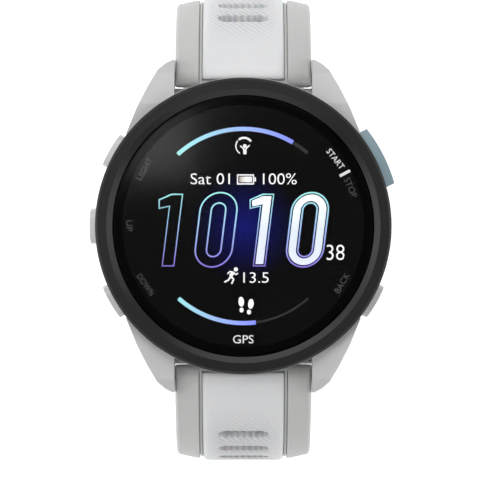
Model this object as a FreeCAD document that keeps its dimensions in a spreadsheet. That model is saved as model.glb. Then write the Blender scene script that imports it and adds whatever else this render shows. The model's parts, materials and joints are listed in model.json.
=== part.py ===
import FreeCAD, Part
import math
import os
import re
import Sketcher
from FreeCAD import Placement, Rotation, Vector

# A round GPS running watch on a quick-release two-tone strap, closed into a loop.
# +Z points out of the display, +Y to 12 o'clock, +X to 3 o'clock.
# The origin is the middle of the flat outer face of the heart-rate window.

doc = FreeCAD.newDocument("RunningWatch")
os.makedirs("parts", exist_ok=True)

sheet = doc.addObject("Spreadsheet::Sheet", "Sizes")
sizes = []


def size(alias, number, note):
    row = len(sizes) + 1
    sheet.set("A%d" % row, alias)
    sheet.set("B%d" % row, str(number))
    sheet.set("C%d" % row, note)
    sheet.setAlias("B%d" % row, alias)
    sizes.append(alias)


# Case
size("case_diameter", 43.0, "across the bezel")
size("case_height", 11.6, "sensor window face to bezel top")
size("case_wall", 3.5, "mid case, outside to the hollow")
size("back_face", 1.6, "height of the flat of the rear cover")
size("cover_thickness", 1.2, "rear cover flange")
size("cover_rim", 1.6, "mid case outside the rear cover")
size("ear_radius", 1.9, "screw ears of the rear cover")
size("bezel_height", 1.8, "bezel ring above its seat")
size("bezel_skirt", 0.5, "bezel ring below its seat")
size("bezel_width", 2.5, "bezel ring, outer edge to glass edge")
size("bezel_chamfer", 0.86, "slope from the bezel top down to the glass")
size("seat_width", 1.7, "flat of the mid case under the bezel ring")
size("ledge_thickness", 0.7, "glass ledge")
size("lens_drop", 0.3, "glass below the bezel top")
size("gasket_thickness", 0.4, "under the cover glass")
size("display_gap", 0.2, "display under the cover glass")
size("display_margin", 2.1, "display edge to the case hollow")
size("display_thickness", 0.7, "display panel")
size("running_gap", 0.05, "radial gap of pins, shafts and seated parts")

# Lugs and strap pins
size("strap_width", 20.0, "strap at the lugs")
size("lug_length", 11.1, "lug root to tip")
size("pin_offset", 0.8, "strap pin outside the bezel edge")
size("pin_height", 4.5, "strap pin above the sensor face")
size("boss_radius", 2.0, "rounded strap end around the pin")
size("hollow_gap", 0.15, "case hollow clear of the strap end")
size("shelf_drop", 0.4, "case shelf behind the strap end, below the pin")
size("shelf_setback", 2.1, "edge of that shelf inside the pin")
size("bar_radius", 0.75, "quick-release bar tube")
size("bar_wall", 0.25, "quick-release bar tube")
size("tip_radius", 0.4, "tip in the lug hole")
size("tip_depth", 0.9, "tip length inside the lug")

# Strap loop, seen from the side
size("strap_slope", 29.0, "fall of the strap where it leaves the lug, degrees")
size("loop_radius", 47.95, "outer face of the tail at the bottom of the loop")
size("loop_rise", 3.5, "centre of the bottom arc above the strap pins")
size("strap_thickness", 2.2, "strap at the bottom of the loop")
size("layer_gap", 0.8, "between the tail and the short strap under it")
size("tail_reach", 28.0, "tail tip past the bottom of the loop, along the strap")
size("tail_round", 6.0, "corners of the tail tip")
size("buckle_reach", 10.0, "buckle bar from the bottom of the loop, along the strap")
size("frame_length", 11.8, "buckle bar to the far bar of the frame")
size("frame_bar", 2.0, "far bar of the frame, along the strap")
size("strap_taper", 2.0, "lost in width from the sides of the loop to the buckle")
size("taper_drop", 18.5, "start of the taper below the strap pins")
size("inlay_width", 12.0, "white centre of the strap")
size("groove_width", 0.55, "groove each side of the white centre")
size("inlay_depth", 0.9, "channel under the white centre")
size("inlay_proud", 0.3, "white centre above the rails")
size("inlay_wrap", 1.0, "white centre behind the strap pin")
size("inlay_end", 4.0, "white centre short of the strap end")
size("slot_length", 7.5, "strap slot across the strap")
size("slot_height", 2.0, "strap slot along the strap")
size("slot_pitch", 4.45, "strap slot spacing")
size("first_slot", 10.05, "strap pin to the first slot, along the strap")
size("slide_gap", 0.5, "buckle and keepers clear of the sliding tail")
size("eye_radius", 1.6, "short strap end around the buckle bar")
size("keeper_wall", 1.2, "keeper band")
size("frame_thickness", 1.5, "buckle frame")
size("frame_ear", 1.55, "frame ears, bar to their ends")
size("keeper_width", 4.1, "keeper along the strap")
size("keeper_play", 0.5, "keeper beside the strap, each side")
size("fixed_keeper_reach", 2.0, "fixed keeper from the bottom of the loop")
size("free_keeper_reach", 6.8, "free keeper from the bottom of the loop")

# Buttons
size("button_drop", 1.25, "button axis under the main board")
size("button_travel", 0.4, "press depth")
size("button_floor", 0.1, "cap clear of its pocket floor when pressed")
size("pocket_gap", 0.15, "cap clear of its pocket walls")
size("cap_length", 5.2, "round-ended caps")
size("cap_height", 3.0, "all caps")
size("cap_proud", 0.95, "round-ended caps outside the bezel edge")
size("start_length", 8.9, "start and stop cap")
size("start_proud", 1.43, "start and stop cap outside the bezel edge")
size("pocket_wall", 1.8, "case wall behind the button pockets")
size("stem_radius", 1.0, "button stem")
size("seal_depth", 0.4, "seal groove in the button stem")
size("clip_depth", 0.28, "clip groove in the button stem")

# Inside
size("board_thickness", 0.7, "main board")
size("board_margin", 1.4, "board edge to the case hollow")
size("board_drop", 2.3, "underside of the board below the glass ledge")
size("can_height", 0.9, "shield cans under the board")
size("pad_thickness", 0.4, "foam under the cell")
size("battery_length", 21.0, "pouch cell")
size("battery_width", 20.0, "pouch cell")
size("battery_gap", 0.2, "cell clear of the shield cans")
size("plug_width", 1.2, "rear cover plug ring")
size("window_radius", 9.95, "heart-rate window")
size("window_thickness", 1.0, "heart-rate window")
doc.recompute()

# Sizes that follow from the ones above, by name
follows = {
    "case_radius": "case_diameter / 2",
    "cavity_radius": "case_radius - case_wall",
    "cover_radius": "case_radius - cover_rim",
    "cover_top": "back_face + cover_thickness",
    "bezel_seat": "case_height - bezel_height",
    "glass_radius": "case_radius - bezel_width",
    "ledge_face": "bezel_seat - bezel_skirt",
    "ledge_radius": "cavity_radius - 0.6",
    "glass_face": "ledge_face + gasket_thickness",
    "glass_top": "case_height - lens_drop",
    "sensor_face": "window_thickness + 1.0",
    "display_face": "glass_face - display_gap - display_thickness",
    "display_radius": "cavity_radius - display_margin",
    "lug_gap": "strap_width + 2 * running_gap",
    "pin_reach": "case_radius + pin_offset",
    "lug_tip": "pin_reach + boss_radius",
    "loop_centre": "pin_height + loop_rise",
    "buckle_width": "strap_width - strap_taper",
    "board_face": "ledge_face - board_drop",
    "board_top": "board_face + board_thickness",
    "board_radius": "cavity_radius - board_margin",
    "button_height": "board_face - button_drop",
    "cap_reach": "case_radius + cap_proud",
    "start_reach": "case_radius + start_proud",
    "pocket_floor": "cavity_radius + pocket_wall",
    "cap_face": "pocket_floor + button_travel + button_floor",
    "stem_end": "cavity_radius - 0.95",
    "screw_reach": "case_radius - 1.2",
    "battery_face": "cover_top + pad_thickness",
    "battery_thickness": "board_face - can_height - battery_gap - battery_face",
    "plug_radius": "cavity_radius - 2 * running_gap",
    "short_radius": "loop_radius - strap_thickness - layer_gap",
    "tail_face": "loop_radius + inlay_proud",
    "bar_reach": "short_radius - eye_radius",
    "frame_inner": "tail_face + slide_gap",
    "frame_outer": "frame_inner + frame_thickness",
    "frame_width": "buckle_width + 4.6",
    "under_strap": "short_radius - strap_thickness",
    "channel_width": "inlay_width + 2 * groove_width",
    "seat_radius": "case_radius - seat_width",
    "seal_reach": "cavity_radius + 0.6",
    "clip_reach": "cavity_radius - 0.7",
    "bar_half": "strap_width / 2 - 0.3",
    "bar_bore": "bar_radius - bar_wall",
}

nodes = []


def formula(text):
    # write a size by its name: followed names open up, sheet names get the sheet in front
    text = str(text)
    while any(re.search(r"\b%s\b" % name, text) for name in follows):
        for name, meaning in follows.items():
            text = re.sub(r"\b%s\b" % name, "(%s)" % meaning, text)
    return re.sub(r"[a-z]+_[a-z_]+", r"Sizes.\g<0>", text)


def value(text):
    number = sheet.evalExpression(formula(text))
    return float(getattr(number, "Value", number))


def bind(thing, prop, text):
    thing.setExpression(prop, formula(text))


def node(thing, label):
    thing.Label = label
    nodes.append(thing)
    return thing


# ---- plain shapes -------------------------------------------------------------

def cylinder(name, radius, height, at=(0, 0, 0), axis=(0, 0, 1)):
    thing = doc.addObject("Part::Cylinder", name)
    bind(thing, "Radius", radius)
    bind(thing, "Height", height)
    place = Vector(value(at[0]), value(at[1]), value(at[2]))
    thing.Placement = Placement(place, Rotation(Vector(0, 0, 1), Vector(*axis)))
    return thing


def box(name, length, width, height, at=(0, 0, 0)):
    # at is the middle of the lower face
    thing = doc.addObject("Part::Box", name)
    bind(thing, "Length", length)
    bind(thing, "Width", width)
    bind(thing, "Height", height)
    corner = Vector(value(at[0]) - value(length) / 2, value(at[1]) - value(width) / 2, value(at[2]))
    thing.Placement = Placement(corner, Rotation())
    return thing


def cut(name, base, tool):
    thing = doc.addObject("Part::Cut", name)
    thing.Base = base
    thing.Tool = tool
    return thing


def join(name, things):
    thing = doc.addObject("Part::MultiFuse", name)
    thing.Shapes = things
    return thing


def group(name, things):
    thing = doc.addObject("Part::Compound", name)
    thing.Links = things
    return thing


def tube(name, outer, inner, height, at=(0, 0, 0), axis=(0, 0, 1)):
    outside = cylinder(name + "_outside", outer, height, at, axis)
    inside = cylinder(name + "_inside", inner, height, at, axis)
    return cut(name, outside, inside)


def turned(thing, angle):
    spin = Placement(Vector(0, 0, 0), Rotation(Vector(0, 0, 1), angle))
    thing.Placement = spin.multiply(thing.Placement)
    return thing


def polar(radius, angle):
    return (radius * math.cos(math.radians(angle)), radius * math.sin(math.radians(angle)))


# ---- bodies and sketches ------------------------------------------------------

def new_body(name):
    return doc.addObject("PartDesign::Body", name)


def origin_plane(body, role):
    for item in body.Origin.OriginFeatures:
        if item.Role == role:
            return item
    return None


def new_sketch(body, name, role, offset=None):
    sketch = body.newObject("Sketcher::SketchObject", name)
    sketch.AttachmentSupport = [(origin_plane(body, role), "")]
    sketch.MapMode = "FlatFace"
    if offset is not None:
        sketch.AttachmentOffset = offset
    return sketch


def close_loop(sketch, first, count):
    for i in range(count):
        after = first + (i + 1) % count
        sketch.addConstraint(Sketcher.Constraint("Coincident", first + i, 2, after, 1))


def lock_start(sketch, edge, x, y):
    for kind, text in (("DistanceX", x), ("DistanceY", y)):
        index = sketch.addConstraint(Sketcher.Constraint(kind, -1, 1, edge, 1, value(text)))
        if isinstance(text, str):
            sketch.setExpression("Constraints[%d]" % index, formula(text))


def polygon(sketch, points):
    # every corner is held by its two distances from the sketch origin
    first = sketch.GeometryCount
    spots = [Vector(value(x), value(y), 0) for x, y in points]
    for i, spot in enumerate(spots):
        sketch.addGeometry(Part.LineSegment(spot, spots[(i + 1) % len(spots)]), False)
    close_loop(sketch, first, len(points))
    for i, (x, y) in enumerate(points):
        lock_start(sketch, first + i, x, y)


def circle(sketch, radius, x=0, y=0):
    middle = Vector(value(x), value(y), 0)
    index = sketch.addGeometry(Part.Circle(middle, Vector(0, 0, 1), value(radius)), False)
    ring = sketch.addConstraint(Sketcher.Constraint("Radius", index, value(radius)))
    sketch.setExpression("Constraints[%d]" % ring, formula(radius))
    for kind, text in (("DistanceX", x), ("DistanceY", y)):
        sketch.addConstraint(Sketcher.Constraint(kind, -1, 1, index, 3, value(text)))


def obround(sketch, length, height):
    # round-ended slot along the sketch's X, about its origin
    half = "((%s) - (%s)) / 2" % (length, height)
    rise = "(%s) / 2" % height
    x = value(half)
    y = value(rise)
    sketch.addGeometry(Part.Arc(Vector(x, -y, 0), Vector(x + y, 0, 0), Vector(x, y, 0)), False)
    sketch.addGeometry(Part.LineSegment(Vector(x, y, 0), Vector(-x, y, 0)), False)
    sketch.addGeometry(Part.Arc(Vector(-x, y, 0), Vector(-x - y, 0, 0), Vector(-x, -y, 0)), False)
    sketch.addGeometry(Part.LineSegment(Vector(-x, -y, 0), Vector(x, -y, 0)), False)
    close_loop(sketch, 0, 4)
    corners = [(half, "-" + rise), (half, rise), ("-" + half, rise), ("-" + half, "-" + rise)]
    for i, (across, up) in enumerate(corners):
        lock_start(sketch, i, across, up)
    for i, across in ((0, half), (2, "-" + half)):
        index = sketch.addConstraint(Sketcher.Constraint("DistanceX", -1, 1, i, 3, value(across)))
        sketch.setExpression("Constraints[%d]" % index, formula(across))


def pad(body, sketch, name, length, both=False):
    feature = body.newObject("PartDesign::Pad", name)
    feature.Profile = sketch
    feature.Midplane = both
    bind(feature, "Length", length)
    doc.recompute()
    if sketch.solve() != 0 or feature.Shape.isNull():
        raise ValueError(name + " has an unsolved sketch")
    return feature


def pocket(body, sketch, name, length=None, both=False, flip=False):
    feature = body.newObject("PartDesign::Pocket", name)
    feature.Profile = sketch
    feature.Midplane = both
    feature.Reversed = flip
    if length is None:
        feature.Type = "ThroughAll"
    else:
        bind(feature, "Length", length)
    before = feature.BaseFeature.Shape.Volume
    doc.recompute()
    if feature.Shape.isNull() or feature.Shape.Volume > before - 0.001:
        raise ValueError(name + " removes nothing")
    return feature


def revolve(body, name, points):
    sketch = new_sketch(body, name + "_profile", "XZ_Plane")
    polygon(sketch, points)
    feature = body.newObject("PartDesign::Revolution", name)
    feature.Profile = sketch
    feature.ReferenceAxis = (sketch, ["V_Axis"])
    feature.Angle = 360
    doc.recompute()
    return feature


# ---- mid case -----------------------------------------------------------------

shell = new_body("case_ring")
revolve(shell, "case_turning", [
    ("cavity_radius", "back_face"),
    ("case_radius - 1.3", "back_face"),
    ("case_radius", "back_face + 1.7"),
    ("case_radius", "bezel_seat"),
    ("seat_radius + running_gap", "bezel_seat"),
    ("seat_radius + running_gap", "ledge_face"),
    ("ledge_radius", "ledge_face"),
    ("ledge_radius", "ledge_face - ledge_thickness"),
    ("cavity_radius", "ledge_face - ledge_thickness"),
])


def signed(sign, text):
    return text if sign > 0 else "-(%s)" % text


def make_lug(name, right, top):
    body = new_body(name)
    plan = new_sketch(body, name + "_plan", "XY_Plane",
                      Placement(Vector(0, 0, value("back_face")), Rotation()))
    outline = [
        ("lug_gap / 2", "lug_tip - 8.0"),
        ("lug_gap / 2", "lug_tip"),
        ("lug_gap / 2 + 0.3", "lug_tip"),
        ("lug_gap / 2 + 1.4", "lug_tip - 0.6"),
        ("lug_gap / 2 + 2.5", "lug_tip - 1.6"),
        ("lug_gap / 2 + 3.9", "lug_tip - 4.0"),
        ("lug_gap / 2 + 5.5", "lug_tip - 7.2"),
        ("lug_gap / 2 + 7.0", "lug_tip - 10.9"),
        ("lug_gap / 2 + 4.0", "lug_tip - 11.0"),
    ]
    polygon(plan, [(signed(right, x), signed(top, y)) for x, y in outline])
    pad(body, plan, name + "_pad", "bezel_seat - back_face")
    slope = new_sketch(body, name + "_slope", "YZ_Plane")
    fall = [
        ("lug_tip - 6.5", "bezel_seat"),
        ("lug_tip - 2.0", "bezel_seat - 1.2"),
        ("lug_tip + 0.5", "pin_height + 2.2"),
        ("lug_tip + 0.5", "bezel_seat + 1"),
        ("lug_tip - 6.5", "bezel_seat + 1"),
    ]
    polygon(slope, [(signed(top, y), z) for y, z in fall])
    pocket(body, slope, name + "_slope_cut", "case_diameter + 4", both=True)
    under = new_sketch(body, name + "_under", "YZ_Plane")
    rise = [
        ("lug_tip - 4.0", "back_face"),
        ("lug_tip + 0.5", "back_face + 1.2"),
        ("lug_tip + 0.5", "back_face - 1"),
        ("lug_tip - 4.0", "back_face - 1"),
    ]
    polygon(under, [(signed(top, y), z) for y, z in rise])
    pocket(body, under, name + "_under_cut", "case_diameter + 4", both=True)
    return body


caseParts = [shell]
caseCuts = [cylinder("cavity_cut", "cavity_radius", "ledge_face - ledge_thickness", (0, 0, 0))]
for top in (1, -1):
    for right in (1, -1):
        name = "lug_%s_%s" % ("top" if top > 0 else "bottom", "right" if right > 0 else "left")
        caseParts.append(make_lug(name, right, top))
        # blind hole for the strap pin tip
        side = signed(right, "lug_gap / 2")
        caseCuts.append(cylinder(name + "_pin_hole", "tip_radius + running_gap", "tip_depth + 0.15",
                                 (signed(right, "lug_gap / 2 - 0.05"), signed(top, "pin_reach"), "pin_height"),
                                 (right, 0, 0)))

# the bridge under the bezel closes the gap above each strap end and follows the round of the case
for top in (1, -1):
    name = "bridge_top" if top > 0 else "bridge_bottom"
    rim = tube(name + "_rim", "case_radius + 0.12", "case_radius - 3.1", 2.3, (0, 0, "bezel_seat - 2.4"))
    span = box(name + "_span", "lug_gap + 1", "case_radius", 3, (0, signed(top, "case_radius / 2 + 10"), "bezel_seat - 3"))
    bridge = doc.addObject("Part::Common", name)
    bridge.Base = rim
    bridge.Tool = span
    caseParts.append(bridge)
    # a shelf closes the case behind the strap end
    caseParts.append(box(name + "_shelf", "lug_gap + 1", 5, "pin_height - shelf_drop - back_face",
                         (0, signed(top, "pin_reach - shelf_setback - 2.5"), "back_face")))
    # the case is hollowed round the strap end
    caseCuts.append(cylinder(name + "_strap_hollow", "boss_radius + inlay_proud + hollow_gap", "lug_gap",
                             ("-lug_gap / 2", signed(top, "pin_reach"), "pin_height"), (1, 0, 0)))

# the ledge stays clear for the bezel skirt and the glass
caseCuts.append(cylinder("bezel_recess", "seat_radius + running_gap", 2, (0, 0, "ledge_face")))
caseCuts.append(cylinder("glass_opening", "ledge_radius", 2, (0, 0, "ledge_face - ledge_thickness - 0.5")))

# rear cover seat: a disc and four ears for the screws
screwSpots = [polar(value("screw_reach"), angle) for angle in (50, 130, 230, 310)]
caseCuts.append(cylinder("cover_seat", "cover_radius + running_gap", "cover_thickness + 1",
                         (0, 0, "back_face - 1")))
for i, (x, y) in enumerate(screwSpots):
    caseCuts.append(cylinder("ear_seat_%d" % i, "ear_radius + running_gap * 2", "cover_thickness + 1",
                             (x, y, "back_face - 1")))
    caseCuts.append(cylinder("screw_hole_%d" % i, "0.75 + running_gap", 2.6,
                             (x, y, "cover_top - 0.1")))

buttons = [
    ("start_stop", 27, "start_length", "start_reach"),
    ("light", 150, "cap_length", "cap_reach"),
    ("up", 180, "cap_length", "cap_reach"),
    ("down", 210, "cap_length", "cap_reach"),
    ("back", 330, "cap_length", "cap_reach"),
]


def radial_sketch(body, name, radius):
    # a sketch facing +X at the given radius, its X along the case edge, its Y up
    return new_sketch(body, name, "YZ_Plane",
                      Placement(Vector(0, value("button_height"), value(radius)), Rotation()))


def cap_outline(sketch, name, length, height):
    # start and stop is square-cornered, the other four are round-ended
    if name != "start_stop":
        obround(sketch, length, height)
        return
    half = "(%s) / 2" % length
    tall = "(%s) / 2" % height
    polygon(sketch, [("-" + half, "-" + tall), (half, "-" + tall), (half, tall), ("-" + half, tall)])


for name, angle, length, reach in buttons:
    slot = new_body(name + "_pocket")
    face = radial_sketch(slot, name + "_pocket_face", "pocket_floor")
    cap_outline(face, name, "(%s) + 2 * pocket_gap" % length, "(cap_height + 2 * pocket_gap)")
    pad(slot, face, name + "_pocket_pad", 6)
    caseCuts.append(turned(slot, angle))
    bore = cylinder(name + "_stem_bore", "stem_radius + running_gap", 6,
                    ("cavity_radius - 1", 0, "button_height"), (1, 0, 0))
    caseCuts.append(turned(bore, angle))

caseSolid = join("case_solid", caseParts)
node(cut("mid_case", caseSolid, join("case_cutters", caseCuts)), "mid_case")

# ---- bezel, glass and display -------------------------------------------------

bezel = node(new_body("bezel_ring"), "bezel_ring")
revolve(bezel, "bezel_turning", [
    ("glass_radius", "ledge_face"),
    ("seat_radius", "ledge_face"),
    ("seat_radius", "bezel_seat"),
    ("case_radius", "bezel_seat"),
    ("case_radius", "case_height - 0.35"),
    ("case_radius - 0.35", "case_height"),
    ("glass_radius + bezel_chamfer", "case_height"),
    ("glass_radius", "glass_top - 0.15"),
])

lens = node(new_body("lens"), "lens")
revolve(lens, "lens_turning", [
    (0, "glass_face"),
    ("glass_radius - running_gap", "glass_face"),
    ("glass_radius - running_gap", "glass_top - 0.3"),
    ("glass_radius - 0.35", "glass_top"),
    (0, "glass_top"),
])
node(tube("lens_gasket", "glass_radius - 2 * running_gap", "ledge_radius + 0.15", "gasket_thickness",
          (0, 0, "ledge_face")), "lens_gasket")
node(cylinder("display_panel", "display_radius", "display_thickness", (0, 0, "display_face")), "display_panel")
flex = [box("flex_drop", 5, 0.15, "display_face + 0.3 - board_top", (0, "display_radius + 0.1", "board_top")),
        box("flex_foot", 5, 2, 0.2, (0, "display_radius - 0.95", "board_top"))]
node(join("display_flex", flex), "display_flex")
node(tube("gps_antenna", "display_radius + 1.3", "display_radius + 0.4", 0.5, (0, 0, "display_face")), "gps_antenna")

# ---- board and carrier --------------------------------------------------------

boardScrews = [polar(value("board_radius - 2"), angle) for angle in (52, 128, 232, 308)]
carrier = cylinder("carrier_plate", "cavity_radius - 1.1", 0.6, (0, 0, "board_top + 0.4"))
posts = [cylinder("carrier_post_%d" % i, 1.2, 0.5, (x, y, "board_top")) for i, (x, y) in enumerate(boardScrews)]
carrierCuts = [box("carrier_notch", 6.8, 1.8, 2, (0, "display_radius + 0.1", "board_top")),
               box("carrier_window", 14, 12, 2, (0, 0, "board_top"))]
boardCuts = []
screws = []
for i, (x, y) in enumerate(boardScrews):
    carrierCuts.append(cylinder("carrier_hole_%d" % i, "0.5 + running_gap", 2, (x, y, "board_face")))
    boardCuts.append(cylinder("board_hole_%d" % i, "0.5 + running_gap", 2, (x, y, "board_face - 0.5")))
    shank = cylinder("board_shank_%d" % i, 0.5, "board_thickness + 0.9", (x, y, "board_face"))
    head = cylinder("board_head_%d" % i, 1.0, 0.5, (x, y, "board_face - 0.5"))
    screws.append(join("board_screw_%d" % i, [shank, head]))
node(cut("inner_frame", join("carrier_solid", [carrier] + posts), join("carrier_cutters", carrierCuts)),
     "inner_frame")
board = cylinder("board_disc", "board_radius", "board_thickness", (0, 0, "board_face"))
node(cut("main_board", board, join("board_cutters", boardCuts)), "main_board")
node(group("board_screws", screws), "board_screws")
cans = [box("can_left", 8, 12, "can_height", (-6, 0, "board_face - can_height")),
        box("can_right", 8, 9, "can_height", (5, 2, "board_face - can_height"))]
node(group("shield_cans", cans), "shield_cans")
switches = [turned(box(name + "_switch", 1.7, 4, 1.9, ("stem_end - button_travel - 0.9", 0, "board_face - 1.9")), angle)
            for name, angle, length, reach in buttons]
node(group("side_switches", switches), "side_switches")

node(box("battery_pad", "battery_length - 3", "battery_width - 3", "pad_thickness", (0, 0, "cover_top")), "battery_pad")
node(box("battery", "battery_length", "battery_width", "battery_thickness", (0, 0, "battery_face")),
     "battery")
node(cylinder("vibration_motor", 2.9, 2.7, ("cavity_radius - 4.4", 0, "cover_top")), "vibration_motor")
node(cylinder("piezo_beeper", 3.0, 0.6, (0, "cavity_radius - 4.6", "cover_top")), "piezo_beeper")
node(box("pressure_sensor", 3, 3, 1.2, (6.8, "cavity_radius - 5.6", "cover_top")), "pressure_sensor")

# ---- rear cover and sensor ----------------------------------------------------

coverBody = new_body("cover_body")
revolve(coverBody, "cover_turning", [
    ("window_radius + running_gap", 0.15),
    ("window_radius + 0.9", 0.15),
    ("window_radius + 1.8", "back_face"),
    ("cover_radius", "back_face"),
    ("cover_radius", "cover_top"),
    ("plug_radius", "cover_top"),
    ("plug_radius", "cover_top + 0.3"),
    ("plug_radius - 0.6", "cover_top + 0.3"),
    ("plug_radius - 0.6", "cover_top + 0.8"),
    ("plug_radius", "cover_top + 0.8"),
    ("plug_radius", "cover_top + 1.1"),
    ("plug_radius - plug_width", "cover_top + 1.1"),
    ("plug_radius - plug_width", "cover_top"),
    ("window_radius - 0.75", "cover_top"),
    ("window_radius - 0.75", "window_thickness"),
    ("window_radius + running_gap", "window_thickness"),
])
ears = [cylinder("ear_%d" % i, "ear_radius", "cover_thickness", (x, y, "back_face")) for i, (x, y) in enumerate(screwSpots)]
coverCuts = [box("port_hole", 8.1, 3.7, 3, (0, -13.9, 0.5))]
coverScrews = []
for i, (x, y) in enumerate(screwSpots):
    coverCuts.append(cylinder("ear_hole_%d" % i, 0.85, 2, (x, y, "back_face - 0.1")))
    coverCuts.append(cylinder("ear_recess_%d" % i, 1.35, 0.8, (x, y, "back_face - 0.1")))
    shank = cylinder("screw_shank_%d" % i, 0.75, 2.8, (x, y, "back_face + 0.7"))
    head = cylinder("screw_head_%d" % i, 1.25, 0.55, (x, y, "back_face + 0.15"))
    drive = box("screw_drive_%d" % i, 1.5, 0.35, 0.3, (x, y, "back_face + 0.1"))
    coverScrews.append(cut("cover_screw_%d" % i, join("screw_solid_%d" % i, [shank, head]), drive))
node(cut("rear_cover", join("cover_solid", [coverBody] + ears), join("cover_cutters", coverCuts)), "rear_cover")
node(group("rear_cover_screws", coverScrews), "rear_cover_screws")
node(tube("rear_cover_gasket", "plug_radius + 0.08", "plug_radius - 0.58", 0.46,
          (0, 0, "cover_top + 0.32")), "rear_cover_gasket")

node(cylinder("sensor_window", "window_radius", "window_thickness"), "sensor_window")
node(cylinder("sensor_board", "window_radius - 1", 0.6, (0, 0, "sensor_face")), "sensor_board")
leds = [box("led_%d" % i, 1.2, 1.2, 0.7, (x, y, "sensor_face - 0.7"))
        for i, (x, y) in enumerate([(-1, 1), (1, 1), (0, -1)])]
node(group("sensor_leds", leds), "sensor_leds")
diodes = [turned(box("diode_%d" % i, 1.8, 2.4, 0.7, (6.6, 0, "sensor_face - 0.7")), 90 * i + 45) for i in range(4)]
node(group("sensor_photodiodes", diodes), "sensor_photodiodes")
node(tube("light_barrier", 4.4, 3.7, "sensor_face - window_thickness", (0, 0, "window_thickness")), "light_barrier")

portBlock = box("port_block", 8.0, 3.6, 2.6, (0, -13.9, "back_face"))
portRecess = box("port_recess", 6.4, 2.2, 2.0, (0, -13.9, "back_face - 0.1"))
pins = [cylinder("contact_%d" % i, 0.4, 1.4, (-2.1 + 1.4 * i, -13.9, "back_face + 0.5")) for i in range(4)]
node(cut("charging_port", portBlock, portRecess), "charging_port")
node(group("charging_contacts", pins), "charging_contacts")

# ---- buttons ------------------------------------------------------------------

def concentric_end(cap, reach, name):
    # the cap's outer face follows the round of the case
    thing = doc.addObject("Part::Common", name + "_cap_shape")
    thing.Base = cap
    thing.Tool = cylinder(name + "_face", reach, 12)
    return thing


for name, angle, length, reach in buttons:
    cap = new_body(name + "_cap")
    face = radial_sketch(cap, name + "_cap_face", "cap_face")
    cap_outline(face, name, length, "cap_height")
    pad(cap, face, name + "_cap_pad", "(%s) - cap_face" % reach)
    shaped = concentric_end(cap, reach, name)
    stem = cylinder(name + "_stem", "stem_radius", "cap_face - stem_end + 0.2",
                    ("stem_end", 0, "button_height"), (1, 0, 0))
    groove = tube(name + "_seal_groove", "stem_radius + 0.2", "stem_radius - seal_depth - 0.02", 0.5,
                  ("seal_reach", 0, "button_height"), (1, 0, 0))
    notch = tube(name + "_clip_groove", "stem_radius + 0.2", "stem_radius - clip_depth - 0.02", 0.4,
                 ("clip_reach", 0, "button_height"), (1, 0, 0))
    solid = cut(name + "_button", join(name + "_button_solid", [shaped, stem]),
                join(name + "_grooves", [groove, notch]))
    node(turned(solid, angle), name + "_button")
    seal = tube(name + "_button_seal", "stem_radius", "stem_radius - seal_depth", 0.44,
                ("seal_reach + 0.03", 0, "button_height"), (1, 0, 0))
    node(turned(seal, angle), name + "_button_seal")
    clip = tube(name + "_button_clip", "stem_radius + 0.8", "stem_radius - clip_depth", 0.34,
                ("clip_reach + 0.03", 0, "button_height"), (1, 0, 0))
    node(turned(clip, angle), name + "_button_clip")

# ---- strap loop ---------------------------------------------------------------
# Both straps are drawn on the +Y side; the lower one is then turned half round.

slope = math.radians(value("strap_slope"))
outward = Vector(math.sin(slope), math.cos(slope), 0)
pin = Vector(value("pin_reach"), value("pin_height"), 0)
loopCentre = Vector(0, value("loop_centre"), 0)


def bottom_point(radius, angle):
    turn = math.radians(angle)
    return loopCentre + Vector(math.sin(turn), -math.cos(turn), 0) * radius


def side_arc(start, bottomRadius):
    # the arc that leaves start square to outward and runs tangent into the bottom arc
    away = start - loopCentre
    radius = (bottomRadius ** 2 - away.dot(away)) / (2 * (bottomRadius - outward.dot(away)))
    centre = start - outward * radius
    reach = centre - loopCentre
    reach.normalize()
    return centre, radius, loopCentre + reach * bottomRadius


def arc_through(centre, start, end):
    radius = (start - centre).Length
    middle = (start - centre) + (end - centre)
    middle.normalize()
    return Part.Arc(start, centre + middle * radius, end)


def closed_arcs(sketch, corners, pieces, fixedRadii):
    # pieces are arcs and lines from corner to corner; corners and radii are held
    for piece in pieces:
        sketch.addGeometry(piece, False)
    starts = []
    for i, corner in enumerate(corners):
        # the sketcher keeps every arc turning left, so its first point may be our last
        near = (sketch.getPoint(i, 1) - corner).Length < (sketch.getPoint(i, 2) - corner).Length
        starts.append(1 if near else 2)
    for i in range(len(pieces)):
        after = (i + 1) % len(pieces)
        sketch.addConstraint(Sketcher.Constraint("Coincident", i, 3 - starts[i], after, starts[after]))
    for i, corner in enumerate(corners):
        for kind, number in (("DistanceX", corner.x), ("DistanceY", corner.y)):
            sketch.addConstraint(Sketcher.Constraint(kind, -1, 1, i, starts[i], number))
    for i, text in fixedRadii.items():
        index = sketch.addConstraint(Sketcher.Constraint("Radius", i, value(text)))
        if isinstance(text, str):
            sketch.setExpression("Constraints[%d]" % index, formula(text))


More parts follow.
